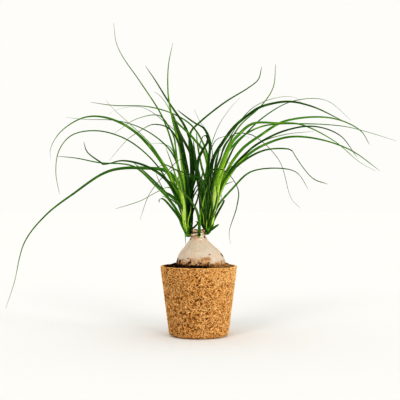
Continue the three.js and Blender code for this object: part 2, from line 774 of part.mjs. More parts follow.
function sheathGeometry(sheath) {
  const profile = SHEATH_SHAPE.map(([radius, rise]) => [radius * sheath.radius, rise * sheath.height]);
  const geometry = turned(profile, SHEATH_SIDES);
  geometry.translate(sheath.x, sheath.y, sheath.z);
  return geometry;
}

// Places a head's leaves, and stops where one would touch another head
function placeLeaves(head, leaves, others) {
  for (const leaf of leaves) {
    const stations = leafStations(leafCurve(leaf, head.sheath), leaf);
    if (!isClear(stations, others)) {
      throw new Error(`The leaf with its tip at ${leaf.line.at(-1)} touches another head`);
    }
    head.leaves.push(stations);
  }
}

// Places a head's inner leaves, and leaves out one that would touch another head
function placeInnerLeaves(head, rule, others) {
  const random = seededRandom(INNER_LEAF_SEED + rule.count);
  for (let i = 0; i < rule.count; i += 1) {
    const leaf = innerLeaf(head.sheath, rule, i, random);
    const stations = leafStations(leaf.curve, leaf);
    if (isClear(stations, others)) {
      head.leaves.push(stations);
    }
  }
}

// One closed body of a sheath and its leaves, cut back where it meets the neck
function headGeometry(head, neck) {
  let solid = solidOf(sheathGeometry(head.sheath));
  for (const stations of head.leaves) {
    solid = solid.add(solidOf(leafGeometry(stations)));
  }
  const bodies = solid.subtract(neck).simplify(SHORTEST_EDGE).decompose();
  bodies.sort((a, b) => b.volume() - a.volume());
  return geometryOf(bodies[0]);
}

const left = { sheath: LEFT_SHEATH, leaves: [] };
const right = { sheath: RIGHT_SHEATH, leaves: [] };
const front = { sheath: FRONT_SHEATH, leaves: [] };
const sheaths = [left, right, front].map((head) => sheathStations(head.sheath));
placeLeaves(left, LEFT_LEAVES, [sheaths[1], sheaths[2]]);
placeLeaves(front, FRONT_LEAVES, [sheaths[0], sheaths[1], ...left.leaves]);
placeLeaves(right, RIGHT_LEAVES, [sheaths[0], sheaths[2], ...left.leaves, ...front.leaves]);
placeInnerLeaves(left, LEFT_INNER, [sheaths[1], sheaths[2], ...right.leaves, ...front.leaves]);
placeInnerLeaves(right, RIGHT_INNER, [sheaths[0], sheaths[2], ...left.leaves, ...front.leaves]);

const caudex = stemBase(CAUDEX_STATIONS, 0);
const neckTop = CAUDEX_STATIONS[OUTER_STATIONS - 1];
const neckRoom = solidOf(
  stemBase(
    [
      ...CAUDEX_STATIONS.slice(0, OUTER_STATIONS),
      { ...neckTop, z: neckTop.z + GAP },
      { ...neckTop, z: neckTop.z + GAP, radius: 0 },
    ],
    GAP,
  ),
);

const plant = new THREE.Group();
plant.name = "ponytail_palm";
plant.add(namedMesh("caudex", caudex, BARK_BEIGE));
plant.add(namedMesh("left_head", headGeometry(left, neckRoom), PLANT_GREEN));
plant.add(namedMesh("right_head", headGeometry(right, neckRoom), PLANT_GREEN));
plant.add(namedMesh("front_shoot", headGeometry(front, neckRoom), PLANT_GREEN));

const root = new THREE.Group();
root.add(namedMesh("coir_pot", coirPot(), COIR_TAN));
root.add(namedMesh("potting_soil", pottingSoil(), SOIL_BROWN));
root.add(plant);

export default root;
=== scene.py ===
import math
from collections import namedtuple

import bmesh
import bpy
import numpy as np
from bpy.props import FloatProperty, FloatVectorProperty, IntProperty, PointerProperty
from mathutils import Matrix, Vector, noise


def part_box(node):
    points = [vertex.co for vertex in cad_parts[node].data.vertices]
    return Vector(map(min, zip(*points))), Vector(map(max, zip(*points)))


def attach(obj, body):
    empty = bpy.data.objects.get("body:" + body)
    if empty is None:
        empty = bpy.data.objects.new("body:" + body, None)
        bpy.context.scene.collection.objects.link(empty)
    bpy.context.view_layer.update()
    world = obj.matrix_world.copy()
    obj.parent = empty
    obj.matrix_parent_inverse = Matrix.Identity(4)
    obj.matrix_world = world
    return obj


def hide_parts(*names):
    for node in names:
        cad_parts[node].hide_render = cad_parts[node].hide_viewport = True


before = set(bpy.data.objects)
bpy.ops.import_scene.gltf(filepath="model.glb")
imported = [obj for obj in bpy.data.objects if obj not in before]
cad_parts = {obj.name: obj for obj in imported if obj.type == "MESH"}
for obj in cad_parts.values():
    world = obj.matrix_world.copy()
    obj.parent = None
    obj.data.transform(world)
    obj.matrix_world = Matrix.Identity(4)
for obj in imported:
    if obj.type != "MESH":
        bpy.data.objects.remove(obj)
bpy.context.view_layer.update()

# Potted ponytail palm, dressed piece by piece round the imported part: coir pot, soil, swollen stem base with
# its papery neck, two leafy heads and a small front shoot. Metres, +Z up, the front faces -Y.

bl_info = {
    "name": "Potted Ponytail Palm",
    "version": (1, 0, 0),
    "blender": (4, 5, 0),
    "location": "View3D > Sidebar > Palm",
    "description": "Builds a ponytail palm in a coir pot, piece by piece",
    "category": "Add Mesh",
}

MM = 0.001
FULL_TURN = 2 * math.pi
ON_AXIS = 1e-6
# Fine places along a curve where its length is measured, and the fewest stretches that it is cut into
CURVE_PLACES = 240
FEWEST_STRETCHES = 8
# Every noise on the pieces below is given by its amount, its scale to the metre and its octaves

# Pot
POT_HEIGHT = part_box("coir_pot")[1].z
POT_FOOT_RADIUS = 45.7 * MM
POT_RIM_RADIUS = 59.6 * MM
POT_FOOT_ROUND = 6 * MM
POT_WALL = 4 * MM
POT_FLOOR = 5 * MM
POT_SIDES = 300
POT_ROW_STEP = 0.9 * MM
# Rows round the pot's foot and its rim, in degrees
FOOT_TURNS = range(0, 90, 9)
RIM_TURNS = range(0, 181, 20)

# Rim: how far under the pot's top its rounding starts, how high it arches, and the depths under the top
# between which the inside has fine rows
RIM_DROP = 1 * MM
RIM_ARCH = 0.9 * MM
RIM_INSIDE = (2 * MM, 14 * MM)

# Wear of the rim: how much lower it is, the deepest dip, where that lies, how far it spreads, and how far
# down the wall it reaches
RIM_WEAR = 0.6 * MM
RIM_DIP = 0.9 * MM
RIM_DIP_TURN = math.radians(-38)
RIM_DIP_SPREAD = math.radians(24)
RIM_WEAR_REACH = 8 * MM

# Base: radius of the ring in its flat face, and the height up to which it stays smooth
BASE_RING = 20 * MM
BASE_SMOOTH = 1.5 * MM

# Relief of the wall: noise of its broad lumps and of its matting, and how high the matting stands
POT_LUMPS = (0.7, 90, 2)
POT_MATTING = (2, 420, 3)
MATTING_HEIGHT = 0.8

# Pits in the wall: how they gather towards the foot, the smallest share of the full size, depth, steepness,
# and the room that strands leave round them
PIT_SEED = 3
PIT_GATHER = (1.5, 2.1)
PIT_LEAST = 0.25
PIT_DEPTH = 1.1 * MM
PIT_STEEPNESS = 1.6
PIT_ROOM = 0.15 * MM

# Strands on the pot's wall: lift off it in millimetres, share of full width, shortest and longest length in
# millimetres, and middle tone, darker for the layers that lie lower: painted shade under the outer strands
STRAND_LAYERS = {
    "under_strands": (0.1, 1, 2.4, 4.6, 0.44),
    "middle_strands": (0.45, 0.8, 2.2, 4.6, 0.53),
    "outer_strands": (0.9, 0.6, 2.2, 5, 0.7),
}
STRAND_STATIONS = 5
STRAND_LOWEST = 1.2 * MM
STRAND_HIGHEST = POT_HEIGHT - 0.6 * MM
STRAND_FLATNESS = 0.7
STRAND_WIDTHS = (0.7, 1.25)
# Shares of its layer's lift that a strand may have, and the brightest tone
STRAND_LIFTS = (0.3, 1)
STRAND_BRIGHTEST = 1.1
# How a strand bends, in radians a millimetre, and how far its middle stands off, in millimetres
STRAND_BEND = 0.15
STRAND_BOW = 0.25
# Where along half a sine wave a strand's width starts and ends
STRAND_END = 0.15
# Strands are lighter near the rim and darker near the foot, painted light from above and painted shade below,
# and less mixed near the rim, over these shares of the wall's height
STRAND_RIM_LIGHT = 0.06
STRAND_RIM_SPAN = (0.6, 0.95)
STRAND_FOOT_SHADE = 0.1
STRAND_FOOT_SPAN = (0, 0.45)
STRAND_MIX = 0.44
STRAND_RIM_MIX = 0.28
STRAND_MIX_SPAN = (0.55, 0.85)

# Strands on the rim: how many, stations along each, lengths in millimetres, slant across the rim, shares of
# its width that they reach, greatest lift, tilt of the rim's two sides, shares of full width, middle tone and
# its spread
RIM_STRANDS = 700
RIM_SEED = 8
RIM_STATIONS = 7
RIM_LENGTHS = (5, 14)
RIM_SLANT = 0.22
RIM_REACH = (-0.1, 1.08)
RIM_LIFT = 0.4 * MM
RIM_TILT = 1.6
RIM_WIDTHS = (0.5, 1.2)
RIM_TONES = (0.45, 0.25)

# Soil
SOIL_LEVEL = 108.5 * MM
SOIL_SIDES = 220
SOIL_RINGS = 26
GAP = 0.3 * MM
# The soil rises towards the stem base over these shares of its width, and is uneven by two noises
SOIL_HEAP = 3 * MM
SOIL_HEAP_SPAN = (0.3, 1)
SOIL_LUMPS = (0.6, 150, 4)
SOIL_GRAINS = (0.6, 500, 2)
# Where the soil turns from moist to dry, to the right and from front to back, and how that line wavers
DRY_ACROSS = (13 * MM, 27 * MM)
DRY_DEPTH = (-10 * MM, 12 * MM)
DRY_WAVER = (5 * MM, 130, 2)

# Crumbs of soil: spread of their sizes, how far they stand out of the soil in millimetres, how flat they get
# and how rough. One in so many clings to the stem base between two heights, and a few lie on the worn rim,
# between two angles in degrees and two radii, and stand over it by a share of their size
CRUMB_SEED = 31
CRUMB_SPREAD = 0.42
CRUMB_LIFT = (0.2, 1.6)
CRUMB_SQUASH = (0.55, 1.1)
CRUMB_ROUGHNESS = 0.22
CLINGING_SHARE = 9
CLINGING_SIZE = 0.45
CLINGING_HEIGHTS = (108, 113.5)
CLINGING_STATIONS = 9
RIM_CRUMBS = 26
RIM_CRUMB_SIZE = 0.6
RIM_CRUMB_ANGLES = (-72, -34)
RIM_CRUMB_RADII = (55.5, 59.4)
RIM_CRUMB_STAND = 0.3

# Swollen stem base, in millimetres: height, radius and sideways drift of its centre
STEM_STATIONS = (
    (70, 0, 3.5),
    (71.5, 14, 3.5),
    (77, 26, 3.5),
    (86, 35, 3.5),
    (97, 39.4, 3.5),
    (106.5, 40, 3.5),
    (112.9, 39.3, 3.5),
    (118.5, 37.7, 3.2),
    (125.5, 35.5, 3.1),
    (132.5, 30.7, 2.2),
    (139.5, 24, 1.2),
    (145.2, 18.6, 0.2),
    (150.5, 14.4, -0.3),
    (154.2, 12.9, -0.4),
    (156.3, 11.6, -0.9),
    (158.2, 11.6, -0.9),
    (160.2, 11.3, -0.9),
    (161.4, 10.6, -0.9),
    (163.2, 10.8, -0.9),
    (166.4, 10, -0.9),
    (165.8, 8.2, -0.9),
    (163.6, 4.5, -0.9),
    (163, 0, -0.9),
)
BURIED_STATIONS = 6
STEM_SIDES = 230
STEM_ROWS_PER_STATION = 7
FOOT_DRIFT = STEM_STATIONS[0][2]
NECK_DRIFT = STEM_STATIONS[-1][2]

# Low waves of the stem base, in millimetres: the heights where they come and go, and how high they are
WAVES_FROM = (100, 120)
WAVES_UNTIL = (150, 165)
WAVE_HEIGHT = 0.35
# Each wave round it: crests, how it winds in radians a millimetre, start, and share of the full height
STEM_WAVES = (
    (3, 0.05, 0, 1),
    (5, -0.11, 2, 0.6),
)

# Relief of its skin: lumps, wrinkles that are stretched upwards, and low growth rings that waver, in radians
# a millimetre. Close to its axis the top stays smooth
STEM_LUMPS = (0.9, 60, 3)
STEM_WRINKLES = (0.9, 420, 3)
WRINKLE_STRETCH = (1, 1, 0.25)
GROWTH_RINGS = 2.1
GROWTH_RING_HEIGHT = 0.16
GROWTH_RING_WAVER = (1.5, 110, 2)
STEM_SMOOTH_MIDDLE = 0.5 * MM

# Heights on the stem base, in millimetres: where its speckles, the painted shade at its foot and its soft
# stain end, where the dark ring runs behind, and where the dry top starts
SPECKLES_UNTIL = (112, 124)
FOOT_SHADE_UNTIL = (110.5, 115.5)
STAIN_LEVEL = 117
STAIN_BLUR = 5
RING_LEVEL = 161
RING_EDGE = (0.6, 1.3)
DRY_TOP_FROM = (162.5, 164)
# The noise and the strength of each of these. The painted shade at the foot is less dark where the soil is
# dry, and the ring sets in from front to back
SPECKLES = (1, 330, 3)
SPECKLE_LEVEL = 0.3
SPECKLE_STEEPNESS = 3
FOOT_SHADE_WAVER = (4.5, 270, 3)
FOOT_SHADE_STRENGTH = 0.85
FOOT_SHADE_DRIED = 0.8
STAIN_NOISE = (1.2, 190, 4)
STAIN_BASE = 0.4
STAIN_STRENGTH = 0.9
RING_WAVER = (0.8, 150, 2)
RING_STRENGTH = 0.9
RING_BEHIND = (-2 * MM, 4 * MM)
DRY_TOP_NOISE = (0.3, 300, 2)
DRY_TOP_BASE = 0.7

# Rows of papery scales round the neck, in millimetres: foot, height, radius and outward lean
SCALE_ROWS = (
    (157.2, 2.8, 11.9, 0.15),
    (158.6, 2.4, 11.6, 0.3),
    (162.2, 3.4, 10.8, 0.2),
    (163, 3.8, 10.4, 0.5),
)
# One scale: the angles that it may span, the shares of that after which the next one starts, where its row
# ends, the angle between its columns and the fewest of them, the points up a column, its thickness and the
# depth of its torn edge in millimetres, the shares of its row's height that it may have, how much its middle
# arches over its ends, and how it waves in and out
SCALE_SEED = 23
SCALE_SWEEPS = (0.5, 1.5)
SCALE_STEPS = (0.75, 1.1)
SCALES_UNTIL = 3.2 * math.pi
SCALE_COLUMN = 0.09
SCALE_FEWEST_COLUMNS = 5
SCALE_HEIGHTS = 4
SCALE_THICKNESS = 0.28
SCALE_TORN = 0.45
SCALE_RISES = (0.7, 1.25)
SCALE_ARCH = 0.28
SCALE_WAVES = 9
SCALE_WAVE_HEIGHT = 0.15

# Edge of a mark: how ragged it is, and the shares of its half width over which it fades
MARK_RAGGED = (0.55, 330, 3)
MARK_EDGE = (0.4, 1.15)

# Marks on the front of the stem base and its neck as they show from the front, in millimetres: both ends,
# half width and strength
DARK_MARKS = (
    ((-34.5, 112), (-33.5, 120.5), 1.6, 0.8),
    ((-30.3, 115.5), (-29.8, 118), 1.9, 0.95),
    ((-33, 112), (-27, 111.5), 1.8, 0.75),
    ((-25.5, 117.3), (-25.2, 118.8), 1.1, 0.5),
    ((-17.5, 120.9), (-16, 120.7), 1.1, 0.5),
    ((-13, 116.5), (-12.6, 119.4), 1.2, 0.55),
    ((-16, 114.2), (-13.3, 114.6), 2.1, 0.98),
    ((-22, 111.6), (-15, 111.8), 1.4, 0.6),
    ((-8.5, 120.4), (-2.5, 120.7), 0.7, 0.3),
    ((0.3, 113.5), (0.6, 119), 0.8, 0.4),
    ((1.8, 112.6), (3.6, 113.6), 1.8, 0.85),
    ((4, 114.5), (4.6, 118.5), 0.9, 0.6),
    ((5, 112), (13, 111.6), 1.2, 0.55),
    ((14.3, 113.6), (16, 114), 1.7, 0.75),
    ((18, 111.3), (22, 111.8), 1.2, 0.45),
    ((26, 112.4), (26.8, 112.9), 1.1, 0.4),
    ((36, 115.6), (36.2, 117), 0.9, 0.35),
    ((39, 112), (41, 111.8), 1.1, 0.5),
    ((16.2, 126.6), (17.2, 127), 1.4, 0.6),
    ((35.2, 127.6), (37.4, 124.6), 1, 0.85),
    ((-15.3, 138.6), (-15, 140), 0.8, 0.22),
    ((-22.3, 128.5), (-22, 131), 0.8, 0.14),
    ((-13.2, 150.8), (-12.4, 152.8), 0.9, 0.65),
    ((-9, 152.3), (-5, 151.9), 0.9, 0.3),
    ((10.6, 150.8), (11.6, 151.6), 0.9, 0.25),
    ((-12.5, 155.1), (-1, 157.6), 0.8, 0.85),
    ((-11, 160.6), (-7, 160.9), 1.2, 1),
    ((-7, 161.1), (-2, 161.8), 0.9, 0.85),
    ((-11, 163.4), (-9.6, 162.6), 1, 0.95),
    ((3, 161.9), (5, 162.2), 0.8, 0.9),
    ((5.8, 165.4), (10.4, 159.2), 0.9, 0.8),
    ((8.6, 155.8), (9.6, 153.6), 1.1, 0.75),
    ((5.8, 158.2), (9, 157.8), 0.6, 0.5),
    ((3, 153.7), (7, 153.4), 0.5, 0.3),
)
OCHRE_MARKS = (
    ((5, 119), (15.5, 120), 4.5, 0.85),
    ((6, 114.5), (14, 115), 3.5, 0.8),
    ((-9, 115.5), (-1, 117), 3.6, 0.6),
    ((-30, 113.5), (-24, 114.5), 3.6, 0.8),
    ((-22, 113), (-12, 112.5), 2.4, 0.75),
    ((-14, 118), (-11, 118.6), 2.2, 0.5),
    ((-27, 118.6), (-24, 119.4), 1.6, 0.45),
    ((18, 112), (28, 111.5), 2.2, 0.6),
    ((31, 113), (36, 115.5), 2.6, 0.4),
    ((39.4, 113), (39.8, 119), 1.5, 0.6),
    ((-10, 154.2), (-5, 153.9), 1.1, 0.6),
    ((-3, 154), (-1, 153.2), 1.3, 0.7),
    ((3.6, 166.5), (6, 165), 1.6, 0.95),
)
CREAM_MARKS = (
    ((-10.4, 158.6), (-2, 159.4), 1.1, 0.95),
    ((-4, 163.4), (-1, 163.1), 0.8, 0.9),
    ((-8, 164.8), (-2, 165), 1.3, 0.45),
    ((3.4, 160.5), (8, 155), 2.2, 1),
    ((2.6, 156), (6, 155.5), 1.6, 0.9),
    ((2.8, 163.8), (4.6, 163.6), 0.9, 0.6),
    ((2, 151.4), (4, 151.2), 0.8, 0.7),
    ((-21.6, 117.2), (-20.6, 117.2), 1.7, 0.8),
)

# Leaf sheaths, in millimetres: place of the axis, lowest point, radius and height
Sheath = namedtuple("Sheath", "x y low radius height")
LEFT_SHEATH = Sheath(-16.6, 0, 154.6, 6.5, 46)
RIGHT_SHEATH = Sheath(12.9, 0, 158, 5.1, 46)
FRONT_SHEATH = Sheath(0.6, -13.4, 154.5, 2, 20)
# Shares of a sheath's radius and height up its side
SHEATH_SHAPE = (
    (0, 0),
    (0.55, 0.02),
    (0.9, 0.07),
    (1, 0.18),
    (0.92, 0.45),
    (0.6, 0.75),
    (0.3, 0.97),
    (0, 1),
)
# Its solid core as a share of the radius, rows, sides, ribs, their height as a share of the radius, the level
# from which they stand out, and their twist a millimetre
SHEATH_CORE = 0.86
SHEATH_ROWS = 50
SHEATH_SIDES = 72
SHEATH_RIBS = 9
SHEATH_RIB_HEIGHT = 0.07
SHEATH_RIB_LEVEL = 0.6
SHEATH_TWIST = 0.05
# Tone at a sheath's foot, how much darker its top is, and stripes round it
SHEATH_FOOT_TONE = 0.55
SHEATH_TONE_FALL = 0.5
SHEATH_STRIPES = 2

# A blade is one leaf in space, in millimetres. Its layer is how many leaf bases lie under it where it clasps
# the sheath, or None where it doesn't
Blade = namedtuple("Blade", "points width taper turn tone layer")

# Leaves: step between their rings and width of their tips in millimetres, greatest thickness as a share of
# half the width, how late they lean to their depth, and the shares of their length between which they turn
LEAF_STATION_STEP = 7
LEAF_TIP_WIDTH = 0.4
LEAF_THICKEST = 0.5
LEAF_LEAN_POWER = 1.4
LEAF_TURN = (0, 0.15)
# How far a leaf's root stands off the sheath's axis: a share of its depth, and at most a share of the radius
ROOT_OFF_SHARE = 0.03
ROOT_OFF_MOST = 0.4
# The photo's view point, in millimetres
VIEW_POINT = (1.9, -1420, 213)

# Corners round a leaf: where they lie across it, and 1 for those on its underside
LEAF_ACROSS = np.array([-1, -0.5, 0, 0.5, 1, 0.5, 0, -0.5])
LEAF_UNDER = np.array([0, 0, 0, 0, 0, 1, 1, 1])
LEAF_CORNERS = len(LEAF_ACROSS)

# Leaf bases that clasp a sheath: where on its height they root, the lengths at which they start to leave it
# and have left it, the second one at most a share of the leaf, half the angle that they wrap, how deep the
# lowest ones sink in, how far each layer lies over the last, and how many layers there are
CLASP_FOOT = 0.02
CLASP_START = 4
CLASP_END = 22
CLASP_MOST = 0.4
CLASP_SPAN = 0.85
CLASP_SINK = 0.5
CLASP_LAYER = 0.1
CLASP_LAYERS = 5

# Each leaf: width, taper (0.3 keeps its width, 1.3 narrows early), depth of its tip behind the pot's axis
# (negative in front), turn (0 level, 1 facing the view point), tone from dark green (0) over lime (1) to pale
# lime (1.4), and its line as seen from the view point, in millimetres. The tones hold painted light: lime and
# pale lime where a leaf catches the light, dark green where it lies in shade
LEFT_LEAVES = (
    # Long low leaf that sweeps out and down to the left
    (8, 1.05, -70, 0.7, 0.4, ((-17, 165), (-30, 235), (-50, 258), (-80, 263), (-140, 259), (-200, 221),
        (-240, 190), (-274, 147), (-291, 81), (-304, 42))),
    # Broad light leaf in front
    (8.4, 0.9, -110, 0.7, 0.6, ((-20, 165), (-25, 200), (-38, 235), (-60, 275), (-100, 320), (-143, 342),
        (-180, 343), (-218, 320), (-234, 292), (-233, 277))),
    (4.4, 0.9, 70, 0.62, 0.25, ((-16, 165), (-22, 210), (-36, 275), (-54, 301), (-90, 326), (-130, 338),
        (-180, 340), (-209, 343))),
    (2.9, 0.4, -30, 0.64, 0.4, ((-18, 165), (-30, 205), (-48, 241), (-75, 278), (-115, 309), (-160, 322),
        (-200, 315), (-220, 291), (-225, 256), (-219, 222))),
    (4.8, 0.5, 100, 0.66, 0.45, ((-18, 163), (-40, 205), (-70, 238), (-103, 266), (-158, 272), (-193, 279),
        (-224, 282))),
    # Kinked dark leaf
    (6.8, 0.62, -140, 0.68, 0.12, ((-18, 165), (-25, 190), (-48, 241), (-80, 265), (-120, 275), (-143, 270),
        (-150, 269), (-154, 272), (-176, 289), (-181, 305))),
    (5, 0.5, -190, 0.7, 0.25, ((-17, 165), (-26, 201), (-52, 225), (-85, 257), (-103, 272))),
    # Short leaf with a curled tip
    (4.6, 0.2, -55, 0.66, 0.2, ((-20, 163), (-31, 185), (-48, 207), (-55, 214), (-60, 216), (-63, 213),
        (-62, 209))),
    # Tallest leaf
    (4, 0.8, 120, 0.7, 0.45, ((-16, 165), (-25, 230), (-38, 287), (-57, 343), (-93, 400), (-120, 439),
        (-130, 461), (-134, 492))),
    (5, 0.7, -70, 0.74, 1.1, ((-15, 165), (-22, 225), (-26.4, 266), (-29.6, 292), (-33.5, 310),
        (-38.5, 328), (-43, 348), (-48, 377), (-48, 423), (-41, 460))),
    (2.8, 0.5, 150, 0.66, 0.35, ((-14, 167), (-17.5, 240), (-27, 295), (-47, 357), (-60, 376), (-71, 384))),
    (2.8, 0.8, 170, 0.66, 0.85, ((-16, 165), (-30, 215), (-48, 255), (-75, 300), (-110, 334), (-130, 352),
        (-146, 369))),
    (2.4, 1, 195, 0.68, 0.1, ((-15, 165), (-18, 250), (-30, 311), (-55, 337), (-90, 359), (-130, 355),
        (-142, 348))),
    (3.2, 0.5, -130, 0.66, 0.6, ((-17, 165), (-27, 235), (-31, 258), (-34, 275), (-36.5, 295), (-38.5, 310),
        (-47, 328), (-62, 346), (-100, 340), (-134, 317))),
    (4.4, 0.7, -170, 0.66, 0.1, ((-16, 165), (-20, 240), (-28, 290), (-33, 305), (-38, 315.5), (-46, 325),
        (-55, 330), (-65, 332), (-74, 332), (-85, 327), (-95, 320.5), (-111, 310), (-123, 297),
        (-141, 275))),
    (3.4, 0.4, 150, 0.7, 0.65, ((-18, 165), (-30, 215), (-47, 233), (-64, 227), (-92, 212), (-132, 199))),
    (3.2, 0.8, -195, 0.74, 0.05, ((-14, 165), (-15, 230), (-21, 272), (-26, 278), (-33, 275), (-60, 246),
        (-78, 222), (-93, 181))),
    (2.6, 0.6, 110, 0.7, 0.3, ((-18, 165), (-35, 198), (-57, 232), (-64, 246), (-68, 257))),
    # Light strips beside the broad leaf, their lime partly painted highlight
    (5, 0.5, -50, 0.76, 0.95, ((-19, 165), (-25.5, 225), (-31.5, 255), (-34.6, 278), (-37, 296),
        (-38.5, 308))),
    (4.6, 0.5, -85, 0.78, 0.9, ((-18, 165), (-23.8, 225), (-26, 255), (-28, 280), (-31, 298))),
    # Dark broad upright leaves
    (8.6, 0.2, -25, 0.78, 0, ((-15, 165), (-15.6, 219), (-18.5, 254), (-24.5, 286), (-29.5, 310),
        (-35.5, 330), (-43, 351))),
    (5.4, 0.2, -45, 0.78, 0, ((-13, 166), (-11, 230), (-11, 262), (-13, 286), (-20, 300), (-27, 313),
        (-35, 330))),
    (8, 0.4, 38, 0.78, 0, ((-13, 167), (-14.5, 199), (-13, 226), (-10.5, 245), (-9.5, 258), (-10.5, 285),
        (-13, 302), (-18, 322))),
    (4.6, 0.4, 60, 0.68, 0.2, ((-14, 165), (-12, 260), (-13, 319), (0, 334), (40, 366), (80, 391),
        (94, 403), (99, 423))),
    # Dark leaf with a folded tip
    (6, 0.35, -70, 0.78, 0.05, ((-12.5, 167), (-13.5, 200), (-11.5, 228), (-4, 254), (0, 279), (7, 293),
        (14, 305), (14, 312), (9, 316), (3, 306), (0, 290))),
    (3.6, 0.3, -10, 0.82, 0.1, ((-12, 167), (-8.5, 169), (-4.5, 173), (-1.2, 177), (-2.5, 178.6),
        (-6, 179.8))),
    (5, 0.8, -120, 0.74, 0.75, ((-19, 165), (-27, 215), (-40, 262), (-52, 296))),
    (4.6, 0.7, 160, 0.74, 0.85, ((-17, 165), (-24, 230), (-35, 275), (-44, 295), (-58, 302), (-76, 302))),
    (5, 0.6, 200, 0.76, 0.1, ((-15, 165), (-14.5, 235), (-17, 258), (-20.5, 275), (-24.5, 290), (-31, 306),
        (-41, 300))),
    (5.4, 0.6, -150, 0.76, 0.35, ((-17, 165), (-23, 215), (-28.5, 250), (-38, 262), (-50, 252))),
    # Leaves that arch straight back and hang down behind the head
    (4, 0.5, 120, 0.7, 0.1, ((-15, 165), (-15, 235), (-17.5, 256), (-20, 250), (-22.5, 220), (-23, 190),
        (-21.5, 160), (-20.6, 143))),
    (4, 0.6, 215, 0.5, 0.25, ((-14, 165), (-11, 225), (-10, 250), (-12, 245), (-13, 225), (-13, 200))),
    (5, 0.6, 240, 0.78, 0.85, ((-17, 165), (-24, 225), (-29, 252), (-33, 246), (-36, 226), (-37, 205))),
    # Dark leaves that cross the gap between the heads
    (3.4, 0.5, -45, 0.78, 0, ((-11.5, 166), (-11, 188), (-7, 201), (-2.8, 212), (0, 224), (3, 242),
        (6, 258))),
    (3.2, 0.5, -80, 0.78, 0.05, ((-12, 166), (-13, 192), (-12, 206), (-9, 217), (-3, 228), (5, 239),
        (13, 252))),
    # Bright leaves in front, their lime and pale lime partly painted highlight
    (5.6, 0.45, -125, 0.8, 1.2, ((-20.5, 163), (-21.8, 172), (-22.3, 183), (-22.6, 195), (-23.2, 206),
        (-25, 218), (-28, 234))),
    (7, 0.45, -95, 0.8, 1, ((-20, 164), (-22.5, 176), (-24, 190), (-25.2, 205), (-26, 224), (-27, 240),
        (-30, 258))),
    (2.4, 0.4, -70, 0.78, 0.9, ((-16.5, 165), (-17, 176), (-15.5, 186), (-13, 195), (-12, 204))),
    (6, 0.3, -12, 0.9, 0.4, ((-17, 157.5), (-21.5, 165), (-26, 173.5), (-31, 184))),
    (2.4, 0.3, -24, 0.9, 1, ((-18.5, 158.5), (-22, 166), (-22.8, 172), (-22.5, 181))),
)
